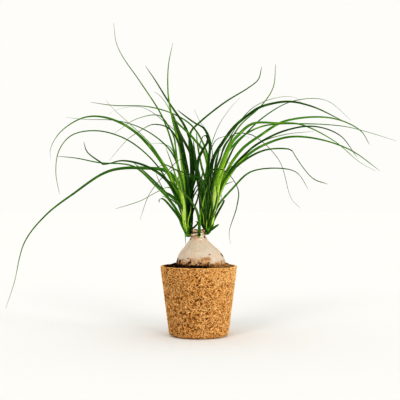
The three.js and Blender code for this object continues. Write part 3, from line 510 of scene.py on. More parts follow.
RIGHT_LEAVES = (
    # Longest leaf on the right
    (5, 1, -20, 0.62, 0.7, ((15, 166), (24, 230), (35, 270), (64, 309), (100, 329), (163, 333), (228, 329),
        (262, 321), (311, 306))),
    # Broad light leaf in front
    (8.6, 1.15, -80, 0.7, 0.9, ((16, 166), (26, 205), (32, 248), (41, 276), (51, 302), (62, 315), (84, 333),
        (124, 334), (160, 332), (213, 306), (254, 272), (278, 259))),
    (6.6, 0.5, -50, 0.7, 0.05, ((14, 166), (16, 235), (22, 275), (28.5, 290), (36.5, 302), (50, 321.5),
        (60, 332.5), (70, 341), (80, 348.5), (96, 359), (140, 368), (179, 360), (226, 338))),
    (5, 1.1, 50, 0.64, 0.35, ((15, 166), (24, 225), (38, 258), (47.5, 280), (57, 298.5), (70, 313),
        (100, 342), (146, 368), (200, 370), (240, 338))),
    (6.2, 0.35, 90, 0.62, 0.8, ((16, 166), (30, 228), (43, 255), (52, 272), (64, 288.5), (74, 298.5),
        (96, 314), (135, 337), (209, 342), (255, 322), (269, 300))),
    (4.8, 0.45, -130, 0.64, 0.05, ((16, 166), (32, 228), (47, 254), (58, 270), (75, 287), (89, 299),
        (132, 321), (180, 329), (222, 315), (250, 279))),
    (3.6, 0.6, 140, 0.64, 0.55, ((16, 166), (34, 235), (54, 266), (96, 303), (135, 316), (180, 321))),
    (6, 0.6, -100, 0.7, 0.8, ((17, 166), (35, 228), (52, 257), (62, 270), (78, 284.5), (96, 296.5),
        (140, 312), (188, 309), (240, 291), (285, 259))),
    # Kinked leaf
    (4.6, 0.35, -165, 0.68, 0.25, ((16, 166), (38, 240), (62, 268), (102, 291), (140, 293.5), (147, 291),
        (153, 281), (180, 247), (203, 238))),
    (4, 0.4, -140, 0.64, 0.4, ((17, 166), (28, 200), (54, 232), (81, 257), (129, 263), (155, 256),
        (173, 229))),
    (3.4, 0.5, 130, 0.68, 0.7, ((14, 166), (28, 250), (61, 325), (99, 362), (117, 390), (121, 427))),
    (3.4, 0.45, 185, 0.72, 0.1, ((13, 166), (19, 230), (27, 262), (33, 275), (36.5, 287), (40, 298),
        (48, 309), (57, 317.5), (72, 318), (89, 313), (127, 275), (146, 215), (160, 200))),
    # Leaf that arches over the front and hangs down
    (5.6, 0.9, -190, 0.9, 0.2, ((10, 166), (6, 200), (10, 235), (15, 256), (27, 262), (43, 258), (62, 230),
        (60, 203), (48, 163), (50, 144))),
    (2.6, 0.7, 200, 0.7, 0.55, ((13, 166), (22, 230), (38, 290), (80, 354), (118, 373), (152, 374),
        (168, 358))),
    (6.4, 0.6, 70, 0.74, 0.05, ((12, 166), (2, 225), (-4.5, 262), (-9, 290), (-13.5, 307), (-22, 329),
        (-46, 365), (-69, 402), (-84, 424))),
    (3.8, 0.4, 120, 0.66, 0.5, ((12, 166), (17, 265), (10, 295), (-10, 329), (-39, 348), (-80, 360),
        (-135, 362), (-171, 367))),
    (5, 0.35, -110, 0.74, 0.05, ((12, 166), (15, 265), (17, 303), (8, 326), (-6, 334), (-20, 344),
        (-34, 355))),
    (5.2, 0.25, -70, 0.76, 0.75, ((12, 166), (14, 240), (13, 272), (7, 291), (-5, 306), (-18, 320),
        (-30, 331), (-42, 343))),
    (2.4, 0.8, 110, 0.74, 0.25, ((14, 166), (22, 270), (16, 315), (1, 338), (-7, 355))),
    (2.2, 1.1, 180, 0.7, 0.2, ((12, 166), (10, 250), (28, 323), (50, 358), (65, 374))),
    (2.6, 0.8, 165, 0.7, 0.25, ((13, 166), (12, 260), (26, 306), (40, 313), (66, 314), (94, 307))),
    # Leaf that crosses in front to the left
    (4.6, 0.4, -200, 0.8, 0.1, ((11, 166), (12, 215), (8, 242), (-15, 254), (-35, 260), (-54, 269),
        (-66, 264))),
    (5.2, 0.5, 20, 0.78, 0.3, ((11, 166), (12, 238), (5, 263), (-2, 300), (-4, 322))),
    (5.2, 0.5, -40, 0.78, 0.15, ((13, 166), (11, 243), (15, 263), (17, 296))),
    # Short low leaf at the foot
    (4.8, 0.25, -16, 0.9, 0.25, ((14, 162), (20, 166.5), (26, 171), (32, 175))),
    # Short kinked leaf
    (4, 0.3, -45, 0.9, 0.15, ((15, 164), (24, 182), (32, 197), (39, 209.5), (40, 212.5), (37.5, 213.5),
        (30, 213.5))),
    (1.8, 0.6, -52, 0.9, 0.3, ((15, 165), (23, 186), (29, 199), (34, 208.5), (36, 214))),
    (2.6, 0.8, 150, 0.72, 0.65, ((14, 166), (20, 225), (34, 262), (50, 272), (73, 260))),
    (6.4, 0.6, -120, 0.76, 0.8, ((15, 166), (21, 205), (26, 238), (31, 256), (34, 268))),
    (3.6, 0.6, 60, 0.76, 0.1, ((13, 166), (16, 230), (27, 262), (34, 280), (40, 295), (48, 308),
        (66, 330))),
    (5.4, 0.6, -160, 0.76, 0.2, ((12, 166), (10, 205), (8, 235), (4, 246), (-3, 240))),
    (3.4, 0.6, 205, 0.76, 0.15, ((14, 166), (22, 235), (28, 280), (35, 293), (44, 292))),
    # Leaves that arch straight back and hang down behind the head
    (4.2, 0.6, 240, 0.5, 0.2, ((14, 166), (17, 235), (19, 262), (22, 256), (25, 236), (25, 208))),
    (4, 0.6, 225, 0.5, 0.6, ((15, 166), (21, 220), (26, 246), (30, 243), (34, 230), (36, 214))),
    (3.8, 0.6, 230, 0.5, 0.25, ((12, 166), (9, 220), (7, 240), (5, 236), (3, 222), (3, 200))),
    # Dark leaves that fill the gap between the heads
    (5, 0.5, -60, 0.78, 0.2, ((9, 166), (5, 195), (3, 225), (4, 245), (8, 262))),
    (5.4, 0.6, 45, 0.78, 0.05, ((9, 166), (5.6, 173), (3.8, 186), (2.6, 205), (1.4, 220), (-0.5, 240),
        (-6, 262), (-10, 285))),
    (5.4, 0.5, -90, 0.76, 0.15, ((11, 166), (8, 200), (6, 230), (0, 255), (-4.5, 275), (-7, 292),
        (-8.5, 308))),
    (5, 0.6, 60, 0.78, 0.15, ((12, 166), (12, 200), (13, 235), (17.5, 262), (20, 282))),
    (5.6, 0.5, -30, 0.76, 0.15, ((13, 166), (18, 200), (22.5, 235), (27, 268), (33, 296))),
    (3.4, 0.5, -150, 0.68, 0.25, ((12, 166), (10, 200), (9, 230), (4, 246), (-9, 250), (-25, 252),
        (-38, 247))),
    # Dark leaves over the roots of the light ones
    (4.4, 0.5, -125, 0.9, 0.2, ((16, 166), (20, 185), (25.5, 202), (28.5, 215), (30.5, 226))),
    (5.2, 0.5, -120, 0.9, 0.2, ((14, 166), (17, 195), (19.5, 222), (23, 240), (26, 250))),
    (3.6, 0.5, -118, 0.9, 0.1, ((12, 166), (10, 186), (5.5, 199), (3, 211), (1, 222))),
    (3.8, 0.5, -122, 0.9, 0.1, ((10, 166), (10, 190), (13, 212), (16, 232), (17, 250))),
    (5, 0.5, -70, 0.9, 0.08, ((9, 163), (6, 168.5), (4.6, 177), (3.8, 189), (3.2, 201), (2.6, 212),
        (0.5, 224), (-2, 240))),
    (4.6, 0.5, -118, 0.9, 0.25, ((15, 166), (18.5, 184), (20.6, 198), (20.5, 212), (18, 228))),
    # Bright leaves in front, their lime and pale lime partly painted highlight
    (6.8, 0.35, -100, 0.9, 1.4, ((15, 166), (19, 192), (23, 208), (24.5, 221), (25, 236))),
    (8.6, 0.6, -110, 0.85, 1.2, ((16, 166), (25, 203), (29.5, 226), (32.5, 240), (36.5, 252), (41, 264))),
    (2.8, 0.4, -115, 0.78, 0.9, ((10, 168), (7, 190), (6, 203), (8, 214), (11, 226))),
    (2.6, 0.4, -100, 0.78, 0.6, ((11, 168), (10, 195), (8, 214), (9, 226), (5, 236))),
    (2.8, 0.3, -22, 0.9, 1, ((11.5, 160), (11.8, 166), (12, 172), (12.6, 182))),
    (4.6, 0.3, -12, 0.9, 0.5, ((14.5, 160), (18.5, 166), (21.5, 173), (24, 184))),
)
FRONT_LEAVES = (
    # Narrow leaf that crosses the gap between the heads
    (4.6, 0.5, -150, 0.9, 0.3, ((0.6, 157), (0.4, 180), (-4, 198), (-9, 206.5), (-15, 215.5), (-22, 222.5),
        (-32, 233))),
    (4.4, 0.6, -60, 0.78, 0.6, ((0.6, 157), (2, 185), (8, 215), (14, 236))),
)

# Along a leaf its own tone fades between these lengths to a settled one, which keeps only a share of it
LEAF_TONE_REACH = (75, 185)
SETTLED_TONE = 0.12
SETTLED_SHARE = 0.38
SETTLED_MIDDLE = 0.2
# A leaf's root is darker, up to these lengths: painted shade deep in the head
LEAF_ROOT_SHADE_REACH = (4, 24)
LEAF_ROOT_SHADE = 0.35
# How olive a tip turns, by the leaf's width, and the share of the length where that begins
TIP_SHARES = ((3, 1.1), (4.2, 0.75), (math.inf, 0.3))
TIP_STARTS = (0.6, 0.85)

# Short upright leaves that fill the middle of a head, set round it by the golden angle
GOLDEN_ANGLE = math.radians(137.5)
INNER_SEED = 4711
INNER_SHARES = np.array([0, 0.25, 0.5, 0.75, 1])
INNER_REACH = (25, 70)
INNER_RISE = (45, 95)
INNER_START = (12, 28)
INNER_WIDTH = (4.6, 7)
INNER_TURN = (0.2, 0.8)
INNER_TAPER = 0.7
INNER_TONES = (0.05, 0.2, 0.35, 0.125, 0.275)
INNER_ACROSS = 0.55
INNER_DEEP = 1.25
INNER_LEAN_POWER = 1.7
INNER_RISE_POWER = 1.5
# Their count in each head, how far they lean sideways, and the first one's angle
LEFT_INNER = (11, -0.25, 0.4)
RIGHT_INNER = (11, 0.25, 1.1)

# Stage: sides of the round floor, places that the lights come from, and width of the camera's sensor in
# millimetres
FLOOR_SIDES = 96
SUN_PLACES = {
    "left": (-0.8, -1.5, 1),
    "right": (0.8, -1.5, 0.8),
    "side": (1.9, -1, 0.12),
}
SENSOR_WIDTH = 36


def colour_setting(name, description, default):
    """Setting for a colour."""
    return FloatVectorProperty(name=name, description=description, subtype="COLOR", default=default)


def size_setting(name, description, default):
    """Setting for a size in metres."""
    return FloatProperty(name=name, description=description, unit="LENGTH", default=default)


def plain_setting(name, description, default):
    """Setting for a number without a unit."""
    return FloatProperty(name=name, description=description, default=default)


class CoirSettings(bpy.types.PropertyGroup):
    """Look of the coir pot."""

    strands: IntProperty(name="Strands", description="Number of coir strands on the wall", default=15300)
    strand_width: size_setting("Strand width", "Width of the thickest strands", 0.78 * MM)
    pits: IntProperty(name="Pits", description="Number of open pits between the strands", default=640)
    pit_size: size_setting("Pit size", "Radius of the widest pits", 1.75 * MM)
    relief: size_setting("Relief", "Height of the matted surface", 0.5 * MM)
    # Painted shade: this near black fills the pits and low places between the strands
    deep_shade: colour_setting("Deep colour", "Colour in the pits between strands", (0.04, 0.014, 0.004))
    dark: colour_setting("Dark colour", "Colour of the darkest strands", (0.3, 0.13, 0.035))
    mid: colour_setting("Middle colour", "Colour of most strands", (0.8, 0.42, 0.122))
    light: colour_setting("Light colour", "Colour of the palest strands", (0.98, 0.7, 0.36))


class SoilSettings(bpy.types.PropertyGroup):
    """Look of the potting soil."""

    crumbs: IntProperty(name="Crumbs", description="Number of loose crumbs", default=1100)
    crumb_size: size_setting("Crumb size", "Middle radius of a crumb", 0.9 * MM)
    relief: size_setting("Relief", "Height of the soil's unevenness", 1.3 * MM)
    # Near black: the soil's own dark colour and painted shade
    dark: colour_setting("Dark colour", "Colour of moist soil", (0.005, 0.003, 0.002))
    light: colour_setting("Light colour", "Colour of half-dry crumbs", (0.2, 0.1, 0.04))
    dry: colour_setting("Dry colour", "Colour of the dry soil at the right", (0.42, 0.25, 0.1))


class StemSettings(bpy.types.PropertyGroup):
    """Look of the swollen stem base."""

    relief: size_setting("Relief", "Height of the skin's unevenness", 0.35 * MM)
    skin: colour_setting("Skin colour", "Colour of clean skin", (0.62, 0.475, 0.36))
    pale: colour_setting("Pale colour", "Colour of the greyish patches", (0.61, 0.535, 0.44))
    # The stain colour also edges the painted shade at the stem's foot
    stain: colour_setting("Stain colour", "Colour of the brown soil stains", (0.29, 0.125, 0.034))
    ochre: colour_setting("Ochre colour", "Colour of the paler soil stains", (0.58, 0.345, 0.12))
    cream: colour_setting("Cream colour", "Colour of the bare bands on the neck", (0.82, 0.72, 0.58))
    # The ring colour also fills the painted shade at the stem's foot
    ring: colour_setting("Ring colour", "Colour of the dark rings on the neck", (0.045, 0.024, 0.016))
    paper: colour_setting("Paper colour", "Colour of the dry scales on the neck", (0.5, 0.27, 0.13))


class LeafSettings(bpy.types.PropertyGroup):
    """Look of the leaves."""

    channel: plain_setting("Channel", "Depth of a leaf's channel as a share of half its width", 0.3)
    thickness: size_setting("Thickness", "Thickness of a leaf at its middle", 0.5 * MM)
    dark: colour_setting("Dark colour", "Colour of the darkest leaves", (0.01, 0.045, 0.007))
    mid: colour_setting("Middle colour", "Colour of most leaves", (0.085, 0.25, 0.02))
    light: colour_setting("Light colour", "Colour of the lightest leaves", (0.46, 0.72, 0.07))
    # Painted highlight: the palest streaks and leaves
    pale: colour_setting("Pale colour", "Colour of the palest streaks", (0.72, 0.9, 0.26))
    tip: colour_setting("Tip colour", "Colour of the thin leaf tips", (0.2, 0.24, 0.09))


class StageSettings(bpy.types.PropertyGroup):
    """Floor, lights and camera."""

    floor: colour_setting("Floor colour", "Colour of the floor", (0.827, 0.821, 0.812))
    floor_radius: size_setting("Floor radius", "From the pot's axis", 14)
    camera_distance: size_setting("Camera distance", "From the pot's axis", -VIEW_POINT[1] * MM)
    camera_height: size_setting("Camera height", "Above the surface", VIEW_POINT[2] * MM)
    lens: plain_setting("Lens", "Focal length in millimetres", 81.2)
    left_sun: plain_setting("Left light", "Strength of the light from the left front", 0.5)
    right_sun: plain_setting("Right light", "Strength of the light from the right front", 0.4)
    side_sun: plain_setting("Side light", "Strength of the low light from the right", 1)
    spread: FloatProperty(name="Light spread", description="Width of each light as an angle",
                          default=math.radians(20), subtype="ANGLE")
    sky: plain_setting("Sky strength", "Strength of the even light from all sides", 0.69)
    sky_colour: colour_setting("Sky colour", "Colour of the even light", (1, 0.993, 0.967))


# Meshes

def mesh_piece(name, points, faces, material, values=None):
    """Mesh object from an array of points and arrays of faces, with one value a point for each name."""
    mesh = bpy.data.meshes.new(name)
    corners = np.concatenate([np.ravel(block) for block in faces]).astype(np.int32)
    sizes = np.concatenate([np.full(len(block), block.shape[1]) for block in faces])
    starts = np.concatenate([[0], np.cumsum(sizes)[:-1]]).astype(np.int32)
    mesh.vertices.add(len(points))
    mesh.vertices.foreach_set("co", np.ravel(points).astype(np.float32))
    mesh.loops.add(len(corners))
    mesh.loops.foreach_set("vertex_index", corners)
    mesh.polygons.add(len(sizes))
    mesh.polygons.foreach_set("loop_start", starts)
    mesh.update(calc_edges=True)
    if mesh.validate():
        raise RuntimeError(f"{name} had faulty faces")
    mesh.shade_smooth()
    for label, numbers in (values or {}).items():
        layer = mesh.attributes.new(label, "FLOAT", "POINT")
        layer.data.foreach_set("value", np.asarray(numbers, np.float32))
    mesh.materials.append(material)
    piece = bpy.data.objects.new(name, mesh)
    bpy.context.scene.collection.objects.link(piece)
    return piece


def settle(piece, slot, *nodes):
    """The piece stands for the nodes, if any, and rides on the root body. The slot is not used."""
    if nodes:
        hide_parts(*nodes)
    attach(piece, "root")


def turned(profile, sides):
    """Points and faces of a skin turned about the Z axis, closed where the profile meets the axis."""
    angles = np.arange(sides) * FULL_TURN / sides
    points = []
    rows = []
    for radius, z in profile:
        first = len(points)
        if radius < ON_AXIS:
            points.append((0, 0, z))
            rows.append(np.full(sides, first))
        else:
            points.extend((radius * math.cos(a), radius * math.sin(a), z) for a in angles)
            rows.append(first + np.arange(sides))
    quads = []
    tris = []
    for low, high in zip(rows, rows[1:]):
        low_next = np.roll(low, -1)
        high_next = np.roll(high, -1)
        if low[0] == low[1]:
            tris.append(np.stack([low, high_next, high], axis=1))
        elif high[0] == high[1]:
            tris.append(np.stack([low, low_next, high], axis=1))
        else:
            quads.append(np.stack([low, low_next, high_next, high], axis=1))
    faces = [np.concatenate(block) for block in (quads, tris) if block]
    return np.array(points, float), faces


def grid_faces(grid):
    """Faces of four corners between neighbours in the last two axes of an array of point numbers."""
    corners = [grid[..., :-1, :-1], grid[..., 1:, :-1], grid[..., 1:, 1:], grid[..., :-1, 1:]]
    return np.stack(corners, axis=-1).reshape(-1, 4)


def closed(grid):
    """Array of point numbers with its first column once more behind its last."""
    return np.concatenate([grid, grid[..., :1]], axis=-1)


def polar(points):
    """Angle and distance of each point round the Z axis."""
    return np.arctan2(points[..., 1], points[..., 0]), np.hypot(points[..., 0], points[..., 1])


def round_axis(radius, angle, z):
    """Points at a distance, an angle and a height round the Z axis."""
    return np.stack(np.broadcast_arrays(radius * np.cos(angle), radius * np.sin(angle), z), axis=-1)


def angle_between(first, second):
    """Angle from the second direction to the first, from minus half a turn to half a turn."""
    return (first - second + math.pi) % FULL_TURN - math.pi


def fractal(points, amount, scale, octaves):
    """Layered noise at each point, up to about the amount to either side of 0."""
    return amount * np.array([noise.fractal(Vector(p) * scale, 1, 2, octaves) for p in points])


def push_out(points, amount, where):
    """Moves points away from the Z axis by an amount each, where the mask allows."""
    _, radius = polar(points)
    grown = 1 + np.where(where & (radius > ON_AXIS), amount / np.maximum(radius, ON_AXIS), 0)
    points[:, :2] *= grown[:, None]


def smooth_step(low, high, value):
    """Smooth rise from 0 at the low value to 1 at the high one."""
    t = np.clip((value - low) / (high - low), 0, 1)
    return t * t * (3 - 2 * t)


def curve_at(points, t):
    """Centripetal curve through points, at shares t of its points' count."""
    points = np.asarray(points, float)
    last = len(points) - 1
    place = np.clip(np.asarray(t) * last, 0, last)
    index = np.minimum(place.astype(int), last - 1)
    w = (place - index)[:, None]
    padded = np.vstack([2 * points[0] - points[1], points, 2 * points[-1] - points[-2]])
    p0, p1, p2, p3 = (padded[index + k] for k in range(4))
    d0, d1, d2 = (np.sqrt(lengths(b - a))[:, None] for a, b in ((p0, p1), (p1, p2), (p2, p3)))
    m1 = ((p1 - p0) / d0 - (p2 - p0) / (d0 + d1) + (p2 - p1) / d1) * d1
    m2 = ((p2 - p1) / d1 - (p3 - p1) / (d1 + d2) + (p3 - p2) / d2) * d1
    c2 = -3 * p1 + 3 * p2 - 2 * m1 - m2
    c3 = 2 * p1 - 2 * p2 + m1 + m2
    return p1 + m1 * w + c2 * w**2 + c3 * w**3


def lengths(vectors):
    """Length of each vector."""
    return np.linalg.norm(vectors, axis=-1)


def run_along(points):
    """Length of the way from the first point to each one."""
    return np.concatenate([[0], np.cumsum(lengths(np.diff(points, axis=0)))])


def unit(vectors):
    """The vectors at length one."""
    return vectors / lengths(vectors)[..., None]


def even_stations(points, step):
    """Places along a centripetal curve about one step apart, and the shares of its length there."""
    places = np.linspace(0, 1, CURVE_PLACES)
    run = run_along(curve_at(points, places))
    shares = np.linspace(0, 1, max(FEWEST_STRETCHES, round(run[-1] / step)) + 1)
    return curve_at(points, np.interp(shares * run[-1], run, places)), shares


# Materials

def new_material(name):
    """Empty node material: the material, its node tree and its shader."""
    material = bpy.data.materials.new(name)
    material.use_nodes = True
    tree = material.node_tree
    return material, tree, tree.nodes["Principled BSDF"]


def coat(tree, shader, colour, roughness, shine):
    """Gives a shader its colour, roughness and shine."""
    tree.links.new(colour, shader.inputs["Base Color"])
    shader.inputs["Roughness"].default_value = roughness
    shader.inputs["Specular IOR Level"].default_value = shine


def fill(tree, socket, value):
    """Gives a socket its value, or links it to another node's output."""
    if isinstance(value, bpy.types.NodeSocket):
        tree.links.new(value, socket)
    else:
        socket.default_value = value


def node(tree, kind, settings=None, **inputs):
    """Shader node of a kind, with its settings, and values or links for its inputs by name."""
    made = tree.nodes.new(kind)
    for label, value in (settings or {}).items():
        setattr(made, label, value)
    for label, value in inputs.items():
        fill(tree, made.inputs[label.replace("_", " ")], value)
    return made


def ramp(tree, factor, stops):
    """Colour ramp output over (position, colour) stops."""
    made = tree.nodes.new("ShaderNodeValToRGB")
    elements = made.color_ramp.elements
    while len(elements) < len(stops):
        elements.new(0.5)
    for element, (position, colour) in zip(elements, stops):
        element.position = position
        element.color = (*colour, 1)
    tree.links.new(factor, made.inputs["Fac"])
    return made.outputs["Color"]


def grey(value):
    """Grey colour."""
    return (value, value, value)


def mix(tree, factor, first, second):
    """Mixed colour output; factor and colours are values or links."""
    made = tree.nodes.new("ShaderNodeMix")
    made.data_type = "RGBA"
    fill(tree, made.inputs[0], factor)
    for socket, colour in ((made.inputs[6], first), (made.inputs[7], second)):
        fill(tree, socket, colour if isinstance(colour, bpy.types.NodeSocket) else (*colour, 1))
    return made.outputs[2]


def calc(tree, operation, first, second=0.0, clamp=False):
    """Output of a math node; inputs are values or links."""
    made = tree.nodes.new("ShaderNodeMath")
    made.operation = operation
    made.use_clamp = clamp
    fill(tree, made.inputs[0], first)
    fill(tree, made.inputs[1], second)
    return made.outputs["Value"]


def swayed(tree, tone, sway, middle, amount):
    """Tone moved up and down by a noise that sways about its middle."""
    return calc(tree, "ADD", tone, calc(tree, "MULTIPLY", calc(tree, "SUBTRACT", sway, middle), amount))


def object_place(tree):
    """Output of the place on the object."""
    return tree.nodes.new("ShaderNodeTexCoord").outputs["Object"]


def value_of(tree, label):
    """Output of a value stored on the mesh's points."""
    return node(tree, "ShaderNodeAttribute", {"attribute_name": label}).outputs["Fac"]


def noise_of(tree, place, scale, detail):
    """Noise output at a place."""
    return node(tree, "ShaderNodeTexNoise", Vector=place, Scale=scale, Detail=detail,
                Roughness=0.55).outputs["Fac"]


def streaks_of(tree, place, scales, detail):
    """Noise output stretched by a scale along each axis."""
    stretched = node(tree, "ShaderNodeMapping", Vector=place, Scale=scales).outputs["Vector"]
    return noise_of(tree, stretched, scale=1, detail=detail)


def add_bump(tree, shader, height, strength, distance):
    """Fine relief on a shader."""
    bump = node(tree, "ShaderNodeBump", Height=height, Strength=strength, Distance=distance)
    tree.links.new(bump.outputs["Normal"], shader.inputs["Normal"])


def painted_right_light(tree, place, amount):
    """Painted light: added tone that makes the coir paler on the pot's right side, where the light falls."""
    across = node(tree, "ShaderNodeSeparateXYZ", Vector=place).outputs["X"]
    share = node(tree, "ShaderNodeMapRange", {"interpolation_type": "SMOOTHSTEP"}, Value=across,
                 From_Min=-10 * MM, From_Max=60 * MM)
    return calc(tree, "MULTIPLY", share.outputs["Result"], amount)


def coir_skin_material(settings):
    """Matted coir under the strands: dark brown, golden where it lies high, with painted shade in low places
    and pits.
    """
    material, tree, shader = new_material("matted_coir")
    place = object_place(tree)
    # Painted light: the matting is paler on the pot's right side
    fine = calc(tree, "ADD", noise_of(tree, place, scale=650, detail=3), painted_right_light(tree, place, 0.06))
    colour = ramp(tree, fine, [(0.38, settings.deep_shade), (0.5, settings.dark), (0.66, settings.mid)])
    # Painted shade: the pits turn near black
    colour = mix(tree, value_of(tree, "pit"), colour, settings.deep_shade)
    coat(tree, shader, colour, roughness=0.95, shine=0.1)
    add_bump(tree, shader, fine, 0.6, 0.6 * MM)
    return material


def coir_strand_material(settings):
    """Coir strands: each one from dark brown to pale gold, with flecks along it, and paler on the right by
    painted light.
    """
    material, tree, shader = new_material("coir_strand")
    place = object_place(tree)
    fleck = noise_of(tree, place, scale=850, detail=2)
    blotch = noise_of(tree, place, scale=35, detail=2)
    shade = swayed(tree, value_of(tree, "tint"), fleck, 0.5, 1.5)
    shade = swayed(tree, shade, blotch, 0.5, 0.35)
    # Painted light: the strands are paler on the pot's right side
    shade = calc(tree, "ADD", shade, painted_right_light(tree, place, 0.28))
    colour = ramp(tree, shade, [(0.05, settings.dark), (0.42, settings.mid), (0.9, settings.light)])
    coat(tree, shader, colour, roughness=0.8, shine=0.2)
    return material


def soil_material(settings):
    """Potting soil: near black, its own dark colour and painted shade, with dry brown crumbs."""
    material, tree, shader = new_material("potting_soil")
    place = object_place(tree)
    lump = noise_of(tree, place, scale=420, detail=5)
    patch = noise_of(tree, place, scale=90, detail=3)
    shade = calc(tree, "MULTIPLY", lump, calc(tree, "ADD", patch, 0.45))
    # The near black is partly painted shade
    colour = ramp(tree, shade, [(0.46, settings.dark), (0.71, settings.light)])
    pale = ramp(tree, lump, [(0.35, settings.light), (0.6, settings.dry)])
    colour = mix(tree, value_of(tree, "dry"), colour, pale)
    coat(tree, shader, colour, roughness=1, shine=0.06)
    add_bump(tree, shader, lump, 0.8, 0.8 * MM)
    return material


def marked(tree, colour, settings):
    """Colour with the dark marks and the painted shade of the stem's foot on it: brown at their edges, near
    black in their middle.
    """
    spot = value_of(tree, "spot")
    colour = mix(tree, calc(tree, "MULTIPLY", spot, 1.7, clamp=True), colour, settings.stain)
    middle = calc(tree, "MULTIPLY", calc(tree, "SUBTRACT", spot, 0.3), 1.7, clamp=True)
    return mix(tree, middle, colour, settings.ring)


def skin_material(settings):
    """Skin of the stem base: beige with grey patches, soil stains and painted shade near its foot and dark
    rings higher up.
    """
    material, tree, shader = new_material("stem_skin")
    place = object_place(tree)
    patch = noise_of(tree, place, scale=55, detail=4)
    colour = mix(tree, ramp(tree, patch, [(0.38, grey(0)), (0.62, grey(1))]), settings.skin, settings.pale)
    streak = streaks_of(tree, place, (260, 260, 60), detail=4)
    colour = mix(tree, ramp(tree, streak, [(0.3, grey(0.22)), (0.6, grey(0))]), colour, settings.stain)
    smudge = noise_of(tree, place, scale=240, detail=4)
    smudge = ramp(tree, smudge, [(0.4, settings.stain), (0.6, settings.ochre)])
    colour = mix(tree, value_of(tree, "stain"), colour, smudge)
    colour = mix(tree, value_of(tree, "cream"), colour, settings.cream)
    colour = marked(tree, colour, settings)
    colour = mix(tree, value_of(tree, "dry"), colour, settings.paper)
    coat(tree, shader, colour, roughness=0.72, shine=0.3)
    grain = noise_of(tree, place, scale=700, detail=5)
    add_bump(tree, shader, calc(tree, "ADD", grain, calc(tree, "MULTIPLY", streak, 0.6)), 0.35, 0.5 * MM)
    return material


def paper_material(settings):
    """Dry papery scales: cream to orange brown, streaked upwards."""
    material, tree, shader = new_material("dry_scale")
    place = object_place(tree)
    streak = streaks_of(tree, place, (700, 700, 140), detail=4)
    patch = noise_of(tree, place, scale=220, detail=2)
    shade = calc(tree, "ADD", calc(tree, "MULTIPLY", streak, 0.7), calc(tree, "MULTIPLY", patch, 0.3))
    colour = ramp(tree, shade, [(0.3, settings.ring), (0.45, settings.paper), (0.62, settings.cream)])
    colour = mix(tree, value_of(tree, "stain"), colour, settings.paper)
    colour = mix(tree, value_of(tree, "cream"), colour, settings.cream)
    coat(tree, shader, marked(tree, colour, settings), roughness=0.75, shine=0.5)
    add_bump(tree, shader, streak, 0.5, 0.3 * MM)
    return material


def blade_noise(tree, scales, detail):
    """Noise laid out over the blades: scales across a blade, along it and from one blade to the next."""
    parts = [calc(tree, "MULTIPLY", value_of(tree, label), scale)
             for label, scale in zip(("across", "along", "number"), scales)]
    place = node(tree, "ShaderNodeCombineXYZ", X=parts[0], Y=parts[1], Z=parts[2]).outputs["Vector"]
    return noise_of(tree, place, scale=1, detail=detail)


def leaf_material(settings):
    """Leaf: its tone, partly painted light, sets its green, with stripes, painted glints, fine ribs and an
    olive tip.
    """
    material, tree, shader = new_material("strap_leaf")
    stripe = blade_noise(tree, (3, 5, 7.3), detail=3)
    shade = swayed(tree, value_of(tree, "tone"), stripe, 0.5, 0.35)
    # Painted glints: pale bands along the blades that stand in for highlights
    glint_band = blade_noise(tree, (1.1, 22, 5.1), detail=2)
    light = ramp(tree, glint_band, [(0.3, grey(0)), (0.42, grey(0.3)), (0.56, grey(0.35)), (0.68, grey(1))])
    shade = swayed(tree, shade, light, 0.33, 0.5)
    half = tuple((a + b) / 2 for a, b in zip(settings.mid, settings.light))
    colour = ramp(tree, calc(tree, "MULTIPLY", shade, 0.75), [
        (0, settings.dark), (0.34, settings.mid), (0.54, half), (0.76, settings.light), (1, settings.pale)])
    colour = mix(tree, calc(tree, "MULTIPLY", value_of(tree, "tip"), 0.9), colour, settings.tip)
    coat(tree, shader, colour, roughness=0.5, shine=0.2)
    shader.inputs["Specular Tint"].default_value = (0.75, 0.95, 0.5, 1)
    ribs = calc(tree, "SINE", calc(tree, "MULTIPLY", value_of(tree, "across"), 22))
    add_bump(tree, shader, ribs, 0.25, 0.12 * MM)
    return material


# Pot

def pot_radius(z):
    """Outer radius of the pot at a height, with its rounded foot."""
    low = np.clip(1 - z / POT_FOOT_ROUND, 0, 1)
    straight = POT_FOOT_RADIUS + (POT_RIM_RADIUS - POT_FOOT_RADIUS) * z / POT_HEIGHT
    return straight - POT_FOOT_ROUND * (1 - np.sqrt(1 - low**2))


def sunk_rim(points):
    """Points of the pot with its worn rim a little lower, most of all in front on the right."""
    angle, _ = polar(points)
    dip = RIM_WEAR + RIM_DIP * np.exp(-(angle_between(angle, RIM_DIP_TURN) / RIM_DIP_SPREAD) ** 2)
    lowered = points.copy()
    lowered[..., 2] -= dip * smooth_step(POT_HEIGHT - RIM_WEAR_REACH, POT_HEIGHT - RIM_DROP, points[..., 2])
    return lowered


def pit_places(settings):
    """Pits in the matted wall: angle, height and radius of each, more of them towards the foot."""
    random = np.random.default_rng(PIT_SEED)
    angle = random.uniform(0, FULL_TURN, settings.pits)
    z = POT_HEIGHT * random.beta(*PIT_GATHER, settings.pits)
    share = PIT_LEAST + (1 - PIT_LEAST) * random.uniform(0, 1, settings.pits) ** 2
    return angle, z, settings.pit_size * share


def pit_depth(angle, z, settings, room=0):
    """How far each place on the wall lies inside a pit or its room: 1 in the middle, 0 outside."""
    deepest = np.zeros(len(z))
    for pit_angle, pit_z, size in zip(*pit_places(settings)):
        away = np.hypot(np.abs(angle_between(angle, pit_angle)) * POT_RIM_RADIUS, z - pit_z)
        deepest = np.maximum(deepest, 1 - away / (size + room))
    return deepest


